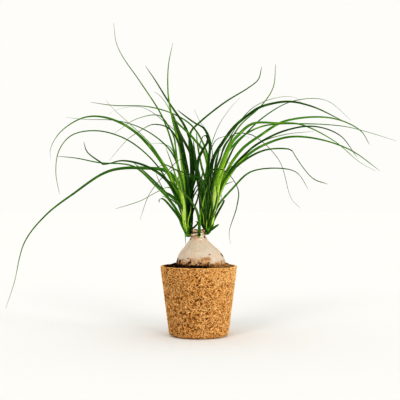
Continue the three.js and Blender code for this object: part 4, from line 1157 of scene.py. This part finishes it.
def pot_profile():
    """Radius and height of each row of the pot: base, wall, rim, the seen part of the inside, and floor."""
    foot = [POT_FOOT_ROUND * (1 - math.cos(math.radians(turn))) for turn in FOOT_TURNS]
    wall = np.arange(POT_FOOT_ROUND, POT_HEIGHT - RIM_DROP, POT_ROW_STEP)
    profile = [(0, 0), (BASE_RING, 0)]
    profile += [(float(pot_radius(z)), z) for z in (*foot, *wall)]
    middle = float(pot_radius(POT_HEIGHT)) - POT_WALL / 2
    for turn in RIM_TURNS:
        out = POT_WALL / 2 * math.cos(math.radians(turn))
        profile.append((middle + out, POT_HEIGHT - RIM_DROP + RIM_ARCH * math.sin(math.radians(turn))))
    highest, lowest = RIM_INSIDE
    inside = np.arange(POT_HEIGHT - highest, POT_HEIGHT - lowest, -POT_ROW_STEP)
    profile += [(float(pot_radius(z)) - POT_WALL, z) for z in (*inside, POT_FLOOR)]
    return profile + [(0, POT_FLOOR)]


def pot_skin(settings):
    """Matted wall of the pot, with its rim, inside and flat base."""
    points, faces = turned(pot_profile(), POT_SIDES)
    angle, radius = polar(points)
    z = points[:, 2]
    matting = 1 - np.abs(fractal(points, *POT_MATTING))
    relief = settings.relief * (fractal(points, *POT_LUMPS) + MATTING_HEIGHT * matting)
    # The pits sink into the wall, and the material paints shade in them
    pit = np.clip(PIT_STEEPNESS * pit_depth(angle, z, settings), 0, 1)
    pit = np.where(radius > pot_radius(z) - MM, pit, 0)
    push_out(points, relief - PIT_DEPTH * pit, z > BASE_SMOOTH)
    return mesh_piece("pot_wall", sunk_rim(points), faces, coir_skin_material(settings), {"pit": pit})


def strand_mesh(name, centres, normals, widths, tints, material):
    """Flattened strands of four corners: arrays of centre lines, surface normals, widths and tints."""
    count, stations, _ = centres.shape
    forward = unit(np.gradient(centres, axis=1))
    side = unit(np.cross(forward, normals))
    taper = np.sqrt(np.sin(np.linspace(STRAND_END, math.pi - STRAND_END, stations)))[None, :, None]
    wide = widths[:, None, None] * taper / 2
    high = wide * STRAND_FLATNESS
    sides = (side * wide, normals * high, -side * wide, -normals * high)
    corners = len(sides)
    points = np.stack([centres + out for out in sides], axis=2).reshape(-1, 3)
    grid = np.arange(count * stations * corners).reshape(count, stations, corners)
    quads = grid_faces(np.swapaxes(closed(grid), 1, 2))
    caps = np.concatenate([grid[:, 0, ::-1], grid[:, -1]])
    return mesh_piece(name, points, [quads, caps], material, {"tint": np.repeat(tints, stations * corners)})


def wall_tones(tone, z, random):
    """Tone of each wall strand about a layer's own: painted light near the rim, painted shade towards the
    foot, and more mixed below the rim.
    """
    up_wall = z / POT_HEIGHT
    # Painted light near the rim and painted shade towards the foot
    rise = STRAND_RIM_LIGHT * smooth_step(*STRAND_RIM_SPAN, up_wall)
    fall = STRAND_FOOT_SHADE * (1 - smooth_step(*STRAND_FOOT_SPAN, up_wall))
    mixed = STRAND_MIX + (STRAND_RIM_MIX - STRAND_MIX) * smooth_step(*STRAND_MIX_SPAN, up_wall)
    return np.clip(tone + rise - fall + mixed * random.normal(0, 1, len(z)), 0, STRAND_BRIGHTEST)


def wall_strands(name, count, seed, layer, settings, material):
    """Curled coir strands that lie on the wall in all directions, clear of its pits."""
    lift, thickness, shortest, longest, tone = layer
    random = np.random.default_rng(seed)
    start_z = random.uniform(STRAND_LOWEST, POT_HEIGHT - STRAND_LOWEST, count)
    start_angle = random.uniform(0, FULL_TURN, count)
    heading = random.uniform(0, FULL_TURN, count)
    length = random.uniform(shortest, longest, count) * MM
    bend = random.normal(0, STRAND_BEND, count) / MM
    share = np.linspace(-0.5, 0.5, STRAND_STATIONS)[None, :]
    turn = heading[:, None] + bend[:, None] * share * length[:, None]
    step = length[:, None] / (STRAND_STATIONS - 1)
    z = start_z[:, None] + np.cumsum(np.sin(turn), axis=1) * step
    z = np.clip(z, STRAND_LOWEST, STRAND_HIGHEST)
    bow = STRAND_BOW * np.cos(share * math.pi)
    radius = pot_radius(z) + (lift * random.uniform(*STRAND_LIFTS, count)[:, None] + bow) * MM
    angle = start_angle[:, None] + np.cumsum(np.cos(turn), axis=1) * step / radius
    inside = pit_depth(angle.ravel(), z.ravel(), settings, PIT_ROOM).reshape(angle.shape)
    clear = inside.max(axis=1) <= 0
    widths = settings.strand_width * thickness * random.uniform(*STRAND_WIDTHS, count)
    tones = wall_tones(tone, start_z, random)
    centres = sunk_rim(round_axis(radius, angle, z))
    normals = round_axis(1, angle, 0)
    return strand_mesh(name, centres[clear], normals[clear], widths[clear], tones[clear], material)


def rim_strands(settings, material):
    """Strands that run round the top of the rim."""
    random = np.random.default_rng(RIM_SEED)
    share = np.linspace(-0.5, 0.5, RIM_STATIONS)[None, :]
    length = random.uniform(*RIM_LENGTHS, RIM_STRANDS) * MM
    slant = random.normal(0, RIM_SLANT, RIM_STRANDS)
    start = random.uniform(0, 1, RIM_STRANDS)
    across = start[:, None] + slant[:, None] * share * length[:, None] / POT_WALL
    inner = float(pot_radius(POT_HEIGHT)) - POT_WALL
    radius = inner + POT_WALL * np.clip(across, *RIM_REACH)
    angle = random.uniform(0, FULL_TURN, RIM_STRANDS)[:, None] + share * length[:, None] / radius
    on_rim = np.clip(across, 0, 1)
    lift = random.uniform(0, RIM_LIFT, RIM_STRANDS)[:, None]
    z = POT_HEIGHT - RIM_DROP + RIM_ARCH * np.sin(on_rim * math.pi) + lift
    tilt = (on_rim - 0.5) * RIM_TILT
    widths = settings.strand_width * random.uniform(*RIM_WIDTHS, RIM_STRANDS)
    tints = np.clip(random.normal(*RIM_TONES, RIM_STRANDS), 0, 1)
    centres = sunk_rim(round_axis(radius, angle, z))
    normals = round_axis(np.sin(tilt), angle, np.cos(tilt))
    return strand_mesh("rim_strands", centres, normals, widths, tints, material)


# Stem base and soil

def stem_rows():
    """Fine rows up the stem base: radius, height and drift, in metres."""
    stations = np.array([(radius, z, drift) for z, radius, drift in STEM_STATIONS]) * MM
    count = (len(stations) - 1) * STEM_ROWS_PER_STATION
    rows = curve_at(stations, np.linspace(0, 1, count + 1))
    rows[:, 0] = np.maximum(rows[:, 0], 0)
    rows[[0, -1], 0] = 0
    return rows


def stem_waves(angle, height):
    """Low waves of the stem base at angles and heights, in millimetres."""
    waves = sum(share * np.sin(crests * angle + wind * height + start)
                for crests, wind, start, share in STEM_WAVES)
    rise = smooth_step(*WAVES_FROM, height) * (1 - smooth_step(*WAVES_UNTIL, height))
    return WAVE_HEIGHT * waves * rise


def seen_from_front(points):
    """x and height at which points show on the upright plane through the pot's axis, in millimetres."""
    x, y, z = points.T / MM
    scale = VIEW_POINT[1] / (VIEW_POINT[1] - y)
    return VIEW_POINT[0] + (x - VIEW_POINT[0]) * scale, VIEW_POINT[2] + (z - VIEW_POINT[2]) * scale


def mark_strength(points, marks):
    """Strength of the front's marks at each point, from 0 to 1."""
    x, z = seen_from_front(points)
    ragged = fractal(points, *MARK_RAGGED)
    found = np.zeros(len(points))
    for (x0, z0), (x1, z1), half, strength in marks:
        run = (x1 - x0) ** 2 + (z1 - z0) ** 2
        share = np.clip(((x - x0) * (x1 - x0) + (z - z0) * (z1 - z0)) / run, 0, 1)
        away = np.hypot(x - x0 - share * (x1 - x0), z - z0 - share * (z1 - z0)) / half + ragged
        found = np.maximum(found, strength * (1 - smooth_step(*MARK_EDGE, away)))
    return np.where(points[:, 1] < 0, found, 0)


def front_marks(points):
    """The values of all marks at each point, for the material."""
    kinds = {"spot": DARK_MARKS, "stain": OCHRE_MARKS, "cream": CREAM_MARKS}
    return {label: mark_strength(points, marks) for label, marks in kinds.items()}


def stem_values(points):
    """Values of the skin at each point: front marks, soil stain and painted shade at the foot, dark ring at
    the back and dry top.
    """
    values = front_marks(points)
    height = points[:, 2] / MM
    speckles = np.clip((fractal(points, *SPECKLES) - SPECKLE_LEVEL) * SPECKLE_STEEPNESS, 0, 1)
    speckles *= 1 - smooth_step(*SPECKLES_UNTIL, height)
    # Painted shade where the stem base meets the soil, darkest at its foot
    foot = 1 - smooth_step(*FOOT_SHADE_UNTIL, height + fractal(points, *FOOT_SHADE_WAVER))
    foot *= FOOT_SHADE_STRENGTH * (1 - FOOT_SHADE_DRIED * dryness(points))
    from_ring = np.abs(height - RING_LEVEL - fractal(points, *RING_WAVER))
    ring = RING_STRENGTH * (1 - smooth_step(*RING_EDGE, from_ring)) * smooth_step(*RING_BEHIND, points[:, 1])
    values["spot"] = np.maximum.reduce([values["spot"], speckles, foot, ring])
    stain = STAIN_BASE + fractal(points, *STAIN_NOISE) + (STAIN_LEVEL - height) / STAIN_BLUR
    values["stain"] = np.maximum(values["stain"], STAIN_STRENGTH * np.clip(stain, 0, 1))
    dry = smooth_step(*DRY_TOP_FROM, height) * (DRY_TOP_BASE + fractal(points, *DRY_TOP_NOISE))
    values["dry"] = np.clip(dry, 0, 1)
    return values


def stem_base(settings):
    """Swollen stem base with its neck and cut top."""
    rows = stem_rows()
    points, faces = turned([(row[0], row[1]) for row in rows], STEM_SIDES)
    drift = np.interp(points[:, 2], rows[:, 1], rows[:, 2])
    angle, radius = polar(points)
    height = points[:, 2] / MM
    wrinkles = np.abs(fractal(points * WRINKLE_STRETCH, *STEM_WRINKLES))
    rings = np.sin(height * GROWTH_RINGS + fractal(points, *GROWTH_RING_WAVER))
    relief = settings.relief * (fractal(points, *STEM_LUMPS) - wrinkles + GROWTH_RING_HEIGHT * rings)
    push_out(points, stem_waves(angle, height) * MM + relief, radius > STEM_SMOOTH_MIDDLE)
    points[:, 0] += drift
    return mesh_piece("stem_base", points, faces, skin_material(settings), stem_values(points))


def neck_scales(settings):
    """Torn papery scales that wrap the neck, left from old leaves."""
    random = np.random.default_rng(SCALE_SEED)
    points = []
    faces = []
    for row in SCALE_ROWS:
        turn = random.uniform(0, FULL_TURN)
        while turn <= SCALES_UNTIL:
            sweep = random.uniform(*SCALE_SWEEPS)
            columns = max(SCALE_FEWEST_COLUMNS, int(sweep / SCALE_COLUMN))
            faces.append(scale_faces(len(points), columns))
            points += scale_points(row, turn, sweep, columns, random)
            turn += sweep * random.uniform(*SCALE_STEPS)
    points = np.array(points) * MM
    return mesh_piece("neck_scales", points, faces, paper_material(settings), front_marks(points))


def scale_points(row, turn, sweep, columns, random):
    """Points of one scale, in millimetres: its inner side with a torn edge, then its outer side."""
    foot, rise, radius, lean = row
    tall = rise * random.uniform(*SCALE_RISES)
    points = []
    for layer in (0, 1):
        for k in range(columns + 1):
            share = k / columns
            angle = turn + sweep * share
            torn = random.uniform(-SCALE_TORN, SCALE_TORN) * (1 - layer)
            height = tall * (1 - SCALE_ARCH + SCALE_ARCH * math.sin(share * math.pi)) + torn
            wave = SCALE_WAVE_HEIGHT * math.sin(SCALE_WAVES * angle + foot)
            for j in range(SCALE_HEIGHTS):
                up = j / (SCALE_HEIGHTS - 1)
                out = radius + lean * up * up + SCALE_THICKNESS * layer + wave
                points.append((out * math.cos(angle) + NECK_DRIFT, out * math.sin(angle), foot + height * up))
    return points


def scale_faces(first, columns):
    """Faces of one closed scale: both sides, its top and foot, and its two ends."""
    count = 2 * (columns + 1) * SCALE_HEIGHTS
    inner, outer = first + np.arange(count).reshape(2, columns + 1, SCALE_HEIGHTS)
    top = np.stack([outer[:, -1], inner[:, -1]], axis=1)
    foot = np.stack([inner[:, 0], outer[:, 0]], axis=1)
    start = np.stack([inner[0], outer[0]])
    end = np.stack([inner[-1], outer[-1]])[:, ::-1]
    return np.concatenate([grid_faces(grid) for grid in (outer, inner.T, top, foot, start, end)])


def soil_edges():
    """Radii of the soil's surface at the pot's wall and at the stem base."""
    edge = STEM_STATIONS[BURIED_STATIONS - 1][1] * MM + GAP
    return float(pot_radius(SOIL_LEVEL)) - POT_WALL - GAP, edge


def soil_rows():
    """Turned rows of the soil: its floor, its side, its surface and its hollow under the stem base."""
    rim, edge = soil_edges()
    buried = STEM_STATIONS[:BURIED_STATIONS]
    hollow = [(radius * MM + (GAP if radius else 0), z * MM - GAP) for z, radius, _ in buried]
    surface = [(edge + (rim - edge) * k / SOIL_RINGS, SOIL_LEVEL) for k in range(1, SOIL_RINGS + 1)]
    low = POT_FLOOR + GAP
    foot = float(pot_radius(low)) - POT_WALL - GAP
    return [(0, low), (foot, low)] + surface[::-1] + hollow[::-1]


def soil_heap(share):
    """Rise of the soil towards the stem base; the share is 0 at the pot's wall and 1 at the stem base."""
    return SOIL_HEAP * smooth_step(*SOIL_HEAP_SPAN, share)


def dryness(points):
    """How dry the soil is at each point: 1 at the right front, 0 at the left."""
    x = points[:, 0] + fractal(points, *DRY_WAVER)
    return smooth_step(*DRY_ACROSS, x) * (1 - smooth_step(*DRY_DEPTH, points[:, 1]))


def soil_bed(settings):
    """Filling of potting soil with an uneven surface."""
    rim, edge = soil_edges()
    points, faces = turned(soil_rows(), SOIL_SIDES)
    _, radius = polar(points)
    uneven = fractal(points, *SOIL_LUMPS) + np.abs(fractal(points, *SOIL_GRAINS))
    top = (points[:, 2] > SOIL_LEVEL - 0.1 * MM) & (radius > edge)
    share = np.where(top, np.clip((rim - radius) / (rim - edge), 0, 1), 1)
    points[:, 2] += np.where(top, settings.relief * uneven + soil_heap(share), 0)
    points[:, 0] += np.where(points[:, 2] > POT_FLOOR + MM, FOOT_DRIFT * MM * share, 0)
    return mesh_piece("soil_bed", points, faces, soil_material(settings), {"dry": dryness(points)})


def crumb_form():
    """Points and faces of a small round form."""
    form = bmesh.new()
    bmesh.ops.create_icosphere(form, subdivisions=1, radius=1)
    form.verts.index_update()
    points = np.array([v.co for v in form.verts])
    tris = np.array([[v.index for v in face.verts] for face in form.faces])
    form.free()
    return points, tris


def crumb_place(k, clinging, size, angle, random):
    """Size and place of the crumb with number k: on the stem base, on the rim or on the soil."""
    if k < clinging:
        size *= CLINGING_SIZE
        height = random.uniform(*CLINGING_HEIGHTS)
        heights, radii, _ = np.transpose(STEM_STATIONS[:CLINGING_STATIONS])
        out = float(np.interp(height, heights, radii)) * MM
        place = (out * math.cos(angle) + FOOT_DRIFT * MM, out * math.sin(angle), height * MM)
    elif k < clinging + RIM_CRUMBS:
        size *= RIM_CRUMB_SIZE
        angle = math.radians(random.uniform(*RIM_CRUMB_ANGLES))
        out = random.uniform(*RIM_CRUMB_RADII) * MM
        height = POT_HEIGHT + RIM_CRUMB_STAND * size
        place = sunk_rim(np.array([out * math.cos(angle), out * math.sin(angle), height]))
    else:
        rim, edge = soil_edges()
        share = random.uniform(0, 1)
        out = edge + (rim - edge - size) * (1 - share)
        x = out * math.cos(angle) + FOOT_DRIFT * MM * share
        lift = random.uniform(*CRUMB_LIFT) * MM
        place = (x, out * math.sin(angle), SOIL_LEVEL + soil_heap(share) + lift)
    return size, np.array(place)


def soil_crumbs(settings):
    """Loose crumbs on the soil, and a few on the stem base and the rim."""
    random = np.random.default_rng(CRUMB_SEED)
    bead, tris = crumb_form()
    points = []
    faces = []
    for k in range(settings.crumbs):
        size = settings.crumb_size * random.lognormal(0, CRUMB_SPREAD)
        angle = random.uniform(0, FULL_TURN)
        size, place = crumb_place(k, settings.crumbs // CLINGING_SHARE, size, angle, random)
        turn, _ = np.linalg.qr(random.normal(size=(3, 3)))
        squash = random.uniform(*CRUMB_SQUASH, 3)
        rough = 1 + random.uniform(-CRUMB_ROUGHNESS, CRUMB_ROUGHNESS, (len(bead), 1))
        points.append((bead * rough * squash) @ turn * size + place)
        faces.append((tris[:, ::-1] if np.linalg.det(turn) < 0 else tris) + k * len(bead))
    points = np.concatenate(points)
    return mesh_piece("soil_crumbs", points, faces, soil_material(settings), {"dry": dryness(points)})


# Leaves

def seeded_random(seed):
    """Seeded random numbers from 0 to 1, the same ones that place the inner leaves of the part."""
    state = seed

    def draw():
        nonlocal state
        state = (state + 0x6D2B79F5) & 0xFFFFFFFF
        t = ((state ^ (state >> 15)) * (1 | state)) & 0xFFFFFFFF
        t = ((t + (((t ^ (t >> 7)) * (61 | t)) & 0xFFFFFFFF)) & 0xFFFFFFFF) ^ t
        return (t ^ (t >> 14)) / 4294967296

    return draw


def leaf_points(line, depth, root_y):
    """Places of a leaf's line in space: each point moves along the line of sight to its depth."""
    line = np.array(line, float)
    run = run_along(line)
    y = root_y + depth * (run / run[-1]) ** LEAF_LEAN_POWER
    scale = 1 - y / VIEW_POINT[1]
    x = VIEW_POINT[0] + (line[:, 0] - VIEW_POINT[0]) * scale
    z = VIEW_POINT[2] + (line[:, 1] - VIEW_POINT[2]) * scale
    return np.stack([x, y, z], axis=1)


def inner_leaves(sheath, rule):
    """Steep short leaves in the middle of a head."""
    count, sideways, first = rule
    draw = seeded_random(INNER_SEED + count)

    def between(limits):
        return limits[0] + (limits[1] - limits[0]) * draw()

    blades = []
    for index in range(count):
        angle = first + index * GOLDEN_ANGLE
        out = between(INNER_REACH) * INNER_SHARES**INNER_LEAN_POWER
        rise = between(INNER_RISE)
        start = sheath.low + between(INNER_START)
        x = sheath.x + math.cos(angle) * out * INNER_ACROSS + sideways * rise * INNER_SHARES**2
        y = sheath.y + math.sin(angle) * out * INNER_DEEP
        z = start + rise * (1 - (1 - INNER_SHARES) ** INNER_RISE_POWER)
        width = between(INNER_WIDTH)
        tone = INNER_TONES[index % len(INNER_TONES)]
        blades.append(Blade(np.stack([x, y, z], axis=1), width, INNER_TAPER, between(INNER_TURN), tone, None))
    return blades


def head_leaves(sheath, leaves, rule):
    """All leaves of a head as blades. A leaf that starts high enough clasps the sheath with its base."""
    blades = []
    for width, taper, depth, turn, tone, line in leaves:
        off = math.copysign(min(ROOT_OFF_MOST * sheath.radius, abs(depth) * ROOT_OFF_SHARE), depth)
        points = leaf_points(line, depth, sheath.y + off)
        layer = None
        if points[0, 2] > sheath.low + CLASP_START:
            points = np.vstack([(sheath.x, sheath.y, sheath.low + CLASP_FOOT * sheath.height), points])
            layer = len(blades) % CLASP_LAYERS
        blades.append(Blade(points, width, taper, turn, tone, layer))
    return blades + (inner_leaves(sheath, rule) if rule else [])


def sheath_radius(sheath, z):
    """Radius of a sheath at a height."""
    radii, heights = np.transpose(SHEATH_SHAPE)
    return sheath.radius * np.interp((z - sheath.low) / sheath.height, heights, radii)


def clasped(ring, share, heading, layer, sheath, z, under):
    """Ring of a leaf drawn by a share onto the sheath that it clasps."""
    out = sheath_radius(sheath, z) + CLASP_LAYER * layer - CLASP_SINK + under
    wrap = round_axis(out, heading + CLASP_SPAN * LEAF_ACROSS, z) + (sheath.x, sheath.y, 0)
    return ring * (1 - share) + wrap * share


def leaf_rings(blade, sheath, settings):
    """Rings of eight corners along a channelled leaf, with the share of length at each ring."""
    centres, shares = even_stations(blade.points, LEAF_STATION_STEP)
    forward = unit(np.gradient(centres, axis=0))
    heading = math.atan2(*(centres[-1] - centres[0])[1::-1])
    facing = math.copysign(math.pi / 2, heading) - heading
    side = np.array([-math.sin(heading), math.cos(heading), 0])
    turn = blade.turn * facing * smooth_step(*LEAF_TURN, shares)
    half = (LEAF_TIP_WIDTH + (blade.width - LEAF_TIP_WIDTH) * (1 - shares) ** blade.taper) / 2
    thick = np.minimum(settings.thickness / MM, half * LEAF_THICKEST)
    run = run_along(centres)
    clasp = np.zeros(len(run))
    if blade.layer is not None:
        clasp = 1 - smooth_step(CLASP_START, min(CLASP_END, CLASP_MOST * run[-1]), run)
    rings = []
    for k, centre in enumerate(centres):
        side = unit(side - forward[k] * side.dot(forward[k]))
        across = side * math.cos(turn[k]) + np.cross(forward[k], side) * math.sin(turn[k])
        under = LEAF_UNDER * thick[k]
        drop = -settings.channel * half[k] * (1 - np.abs(LEAF_ACROSS)) - under
        ring = centre + np.outer(LEAF_ACROSS * half[k], across)
        ring += np.outer(drop, np.cross(forward[k], across))
        if clasp[k] > 0:
            ring = clasped(ring, clasp[k], heading, blade.layer, sheath, centre[2], under)
        rings.append(ring)
    return np.array(rings), shares


def leaf_faces(count, first):
    """Faces of a closed leaf of so many rings: its sides, then its two ends."""
    grid = first + np.arange(count * LEAF_CORNERS).reshape(count, LEAF_CORNERS)
    return [grid_faces(closed(grid)), np.stack([grid[0], grid[-1, ::-1]])]


def leaf_values(blade, number, rings, shares, random):
    """Values for the colours of one leaf, whose tone settles along it and is darker at its root by painted
    shade.
    """
    along = np.repeat(shares, LEAF_CORNERS)
    run = along * lengths(np.diff(rings.mean(axis=1), axis=0)).sum()
    fade = smooth_step(*LEAF_TONE_REACH, run)
    # Painted shade: a leaf darkens towards its root, deep in the head
    root = LEAF_ROOT_SHADE + (1 - LEAF_ROOT_SHADE) * smooth_step(*LEAF_ROOT_SHADE_REACH, run)
    settled = SETTLED_TONE + SETTLED_SHARE * (blade.tone - SETTLED_MIDDLE)
    olive = next(share for widest, share in TIP_SHARES if blade.width < widest)
    return {
        "tone": (blade.tone * (1 - fade) + settled * fade) * root,
        "along": along,
        "across": np.tile(LEAF_ACROSS, len(rings)),
        "number": np.full(len(along), number),
        "tip": np.clip(olive * smooth_step(random.uniform(*TIP_STARTS), 1, along), 0, 1),
    }


def sheath_mesh(sheath):
    """Points, faces and values of the ribbed sheath at a head's foot."""
    core = SHEATH_CORE * sheath.radius
    outline = [(radius * core, z * sheath.height, 0) for radius, z in SHEATH_SHAPE]
    rows = curve_at(outline, np.linspace(0, 1, SHEATH_ROWS))
    rows[:, 0] = np.maximum(rows[:, 0], 0)
    rows[[0, -1], 0] = 0
    points, faces = turned([(row[0], row[1]) for row in rows], SHEATH_SIDES)
    angle, _ = polar(points)
    z = points[:, 2]
    ribs = np.abs(np.sin(SHEATH_RIBS / 2 * angle + SHEATH_TWIST * z)) - SHEATH_RIB_LEVEL
    push_out(points, SHEATH_RIB_HEIGHT * sheath.radius * ribs, z > 0)
    share = z / sheath.height
    none = np.zeros(len(points))
    values = {
        "tone": SHEATH_FOOT_TONE - SHEATH_TONE_FALL * share,
        "along": share,
        "across": SHEATH_STRIPES * angle,
        "number": none,
        "tip": none,
    }
    return points + (sheath.x, sheath.y, sheath.low), faces, values


def head_piece(name, sheath, leaves, rule, settings, material):
    """One head: its sheath and leaves in one mesh, with values for their colours."""
    body, faces, values = sheath_mesh(sheath)
    points = [body]
    parts = [values]
    total = len(body)
    random = np.random.default_rng(len(leaves))
    for number, blade in enumerate(head_leaves(sheath, leaves, rule), 1):
        rings, shares = leaf_rings(blade, sheath, settings)
        faces += leaf_faces(len(rings), total)
        points.append(rings.reshape(-1, 3))
        parts.append(leaf_values(blade, number, rings, shares, random))
        total += len(points[-1])
    values = {label: np.concatenate([part[label] for part in parts]) for label in values}
    return mesh_piece(name, np.concatenate(points) * MM, faces, material, values)


# Operators

class PALM_OT_coir_pot(bpy.types.Operator):
    """Build the coir pot with its matted wall and strands"""

    bl_idname = "palm.coir_pot"
    bl_label = "Coir pot"

    def execute(self, context):
        settings = context.scene.palm_coir
        settle(pot_skin(settings), "coir", "coir_pot")
        material = coir_strand_material(settings)
        count = settings.strands // len(STRAND_LAYERS)
        for seed, (name, layer) in enumerate(STRAND_LAYERS.items()):
            settle(wall_strands(name, count, seed, layer, settings, material), "coir")
        settle(rim_strands(settings, material), "coir")
        return {"FINISHED"}


class PALM_OT_soil(bpy.types.Operator):
    """Build the potting soil and its crumbs"""

    bl_idname = "palm.soil"
    bl_label = "Potting soil"

    def execute(self, context):
        settings = context.scene.palm_soil
        settle(soil_bed(settings), "soil", "potting_soil")
        settle(soil_crumbs(settings), "soil")
        return {"FINISHED"}


class PALM_OT_stem_base(bpy.types.Operator):
    """Build the swollen stem base and the papery scales on its neck"""

    bl_idname = "palm.stem_base"
    bl_label = "Stem base"

    def execute(self, context):
        settings = context.scene.palm_stem
        settle(stem_base(settings), "bark", "caudex")
        settle(neck_scales(settings), "bark")
        return {"FINISHED"}


class PALM_OT_leaf_heads(bpy.types.Operator):
    """Build the two leafy heads and the small front shoot"""

    bl_idname = "palm.leaf_heads"
    bl_label = "Leaf heads"

    def execute(self, context):
        settings = context.scene.palm_leaf
        material = leaf_material(settings)
        heads = (
            ("left_leaves", "left_head", LEFT_SHEATH, LEFT_LEAVES, LEFT_INNER),
            ("right_leaves", "right_head", RIGHT_SHEATH, RIGHT_LEAVES, RIGHT_INNER),
            ("front_leaves", "front_shoot", FRONT_SHEATH, FRONT_LEAVES, None),
        )
        for name, cad_node, sheath, leaves, rule in heads:
            settle(head_piece(name, sheath, leaves, rule, settings, material), "leaf", cad_node)
        return {"FINISHED"}


class PALM_OT_stage(bpy.types.Operator):
    """Set the pale floor, the soft lights and the camera"""

    bl_idname = "palm.stage"
    bl_label = "Stage"

    def execute(self, context):
        settings = context.scene.palm_stage
        add_floor(settings)
        add_lights(settings)
        add_camera(context.scene, settings)
        return {"FINISHED"}


def add_floor(settings):
    """Wide pale floor, round so that it looks alike from every side."""
    material, _, shader = new_material("pale_floor")
    shader.inputs["Base Color"].default_value = (*settings.floor, 1)
    shader.inputs["Roughness"].default_value = 1
    shader.inputs["Specular IOR Level"].default_value = 0
    profile = [(0, 0), (settings.floor_radius / 2, 0), (settings.floor_radius, 0)]
    points, faces = turned(profile, FLOOR_SIDES)
    floor = mesh_piece("pale_floor", points, [block[:, ::-1] for block in faces], material)


def add_sun(name, place, strength, spread):
    """Soft light from far away, from the side where the place lies."""
    sun = bpy.data.lights.new(name, "SUN")
    sun.energy = strength
    sun.angle = spread
    item = bpy.data.objects.new(name, sun)
    item.location = place
    item.rotation_euler = Vector(place).to_track_quat("Z", "Y").to_euler()
    bpy.context.scene.collection.objects.link(item)


def add_lights(settings):
    """Two soft lights from the front, a low one from the right, and even light from all sides."""
    for side, place in SUN_PLACES.items():
        add_sun(f"{side}_light", place, getattr(settings, f"{side}_sun"), settings.spread)
    world = bpy.data.worlds.new("even_light")
    world.use_nodes = True
    background = world.node_tree.nodes["Background"]
    background.inputs["Color"].default_value = (*settings.sky_colour, 1)
    background.inputs["Strength"].default_value = settings.sky
    bpy.context.scene.world = world


def add_camera(scene, settings):
    """Level camera in front of the pot."""
    lens = bpy.data.cameras.new("front_camera")
    lens.lens = settings.lens
    lens.sensor_width = SENSOR_WIDTH
    camera = bpy.data.objects.new("front_camera", lens)
    camera.location = (VIEW_POINT[0] * MM, -settings.camera_distance, settings.camera_height)
    camera.rotation_euler = (math.pi / 2, 0, 0)
    scene.collection.objects.link(camera)
    scene.camera = camera
    scene.view_settings.view_transform = "Standard"
    scene.view_settings.look = "High Contrast"


class PALM_PT_panel(bpy.types.Panel):
    """Sidebar panel with one button for each piece and its settings"""

    bl_label = "Potted Ponytail Palm"
    bl_idname = "PALM_PT_panel"
    bl_space_type = "VIEW_3D"
    bl_region_type = "UI"
    bl_category = "Palm"

    def draw(self, context):
        scene = context.scene
        for operator, group in STEPS:
            box = self.layout.box()
            box.operator(operator)
            settings = getattr(scene, group)
            for label in settings.bl_rna.properties.keys():
                if label not in ("rna_type", "name"):
                    box.prop(settings, label)


STEPS = (
    ("palm.stage", "palm_stage"),
    ("palm.coir_pot", "palm_coir"),
    ("palm.soil", "palm_soil"),
    ("palm.stem_base", "palm_stem"),
    ("palm.leaf_heads", "palm_leaf"),
)

GROUPS = {
    "palm_coir": CoirSettings,
    "palm_soil": SoilSettings,
    "palm_stem": StemSettings,
    "palm_leaf": LeafSettings,
    "palm_stage": StageSettings,
}

CLASSES = (
    *GROUPS.values(),
    PALM_OT_coir_pot,
    PALM_OT_soil,
    PALM_OT_stem_base,
    PALM_OT_leaf_heads,
    PALM_OT_stage,
    PALM_PT_panel,
)


def register():
    """Registers the classes and gives each scene their settings."""
    for kind in CLASSES:
        bpy.utils.register_class(kind)
    for label, group in GROUPS.items():
        setattr(bpy.types.Scene, label, PointerProperty(type=group))


def unregister():
    """Takes back what register did."""
    for label in GROUPS:
        delattr(bpy.types.Scene, label)
    for kind in reversed(CLASSES):
        bpy.utils.unregister_class(kind)


def main():
    """Builds every piece."""
    register()
    bpy.ops.palm.stage()
    bpy.ops.palm.coir_pot()
    bpy.ops.palm.soil()
    bpy.ops.palm.stem_base()
    bpy.ops.palm.leaf_heads()


if __name__ == "__main__":
    main()
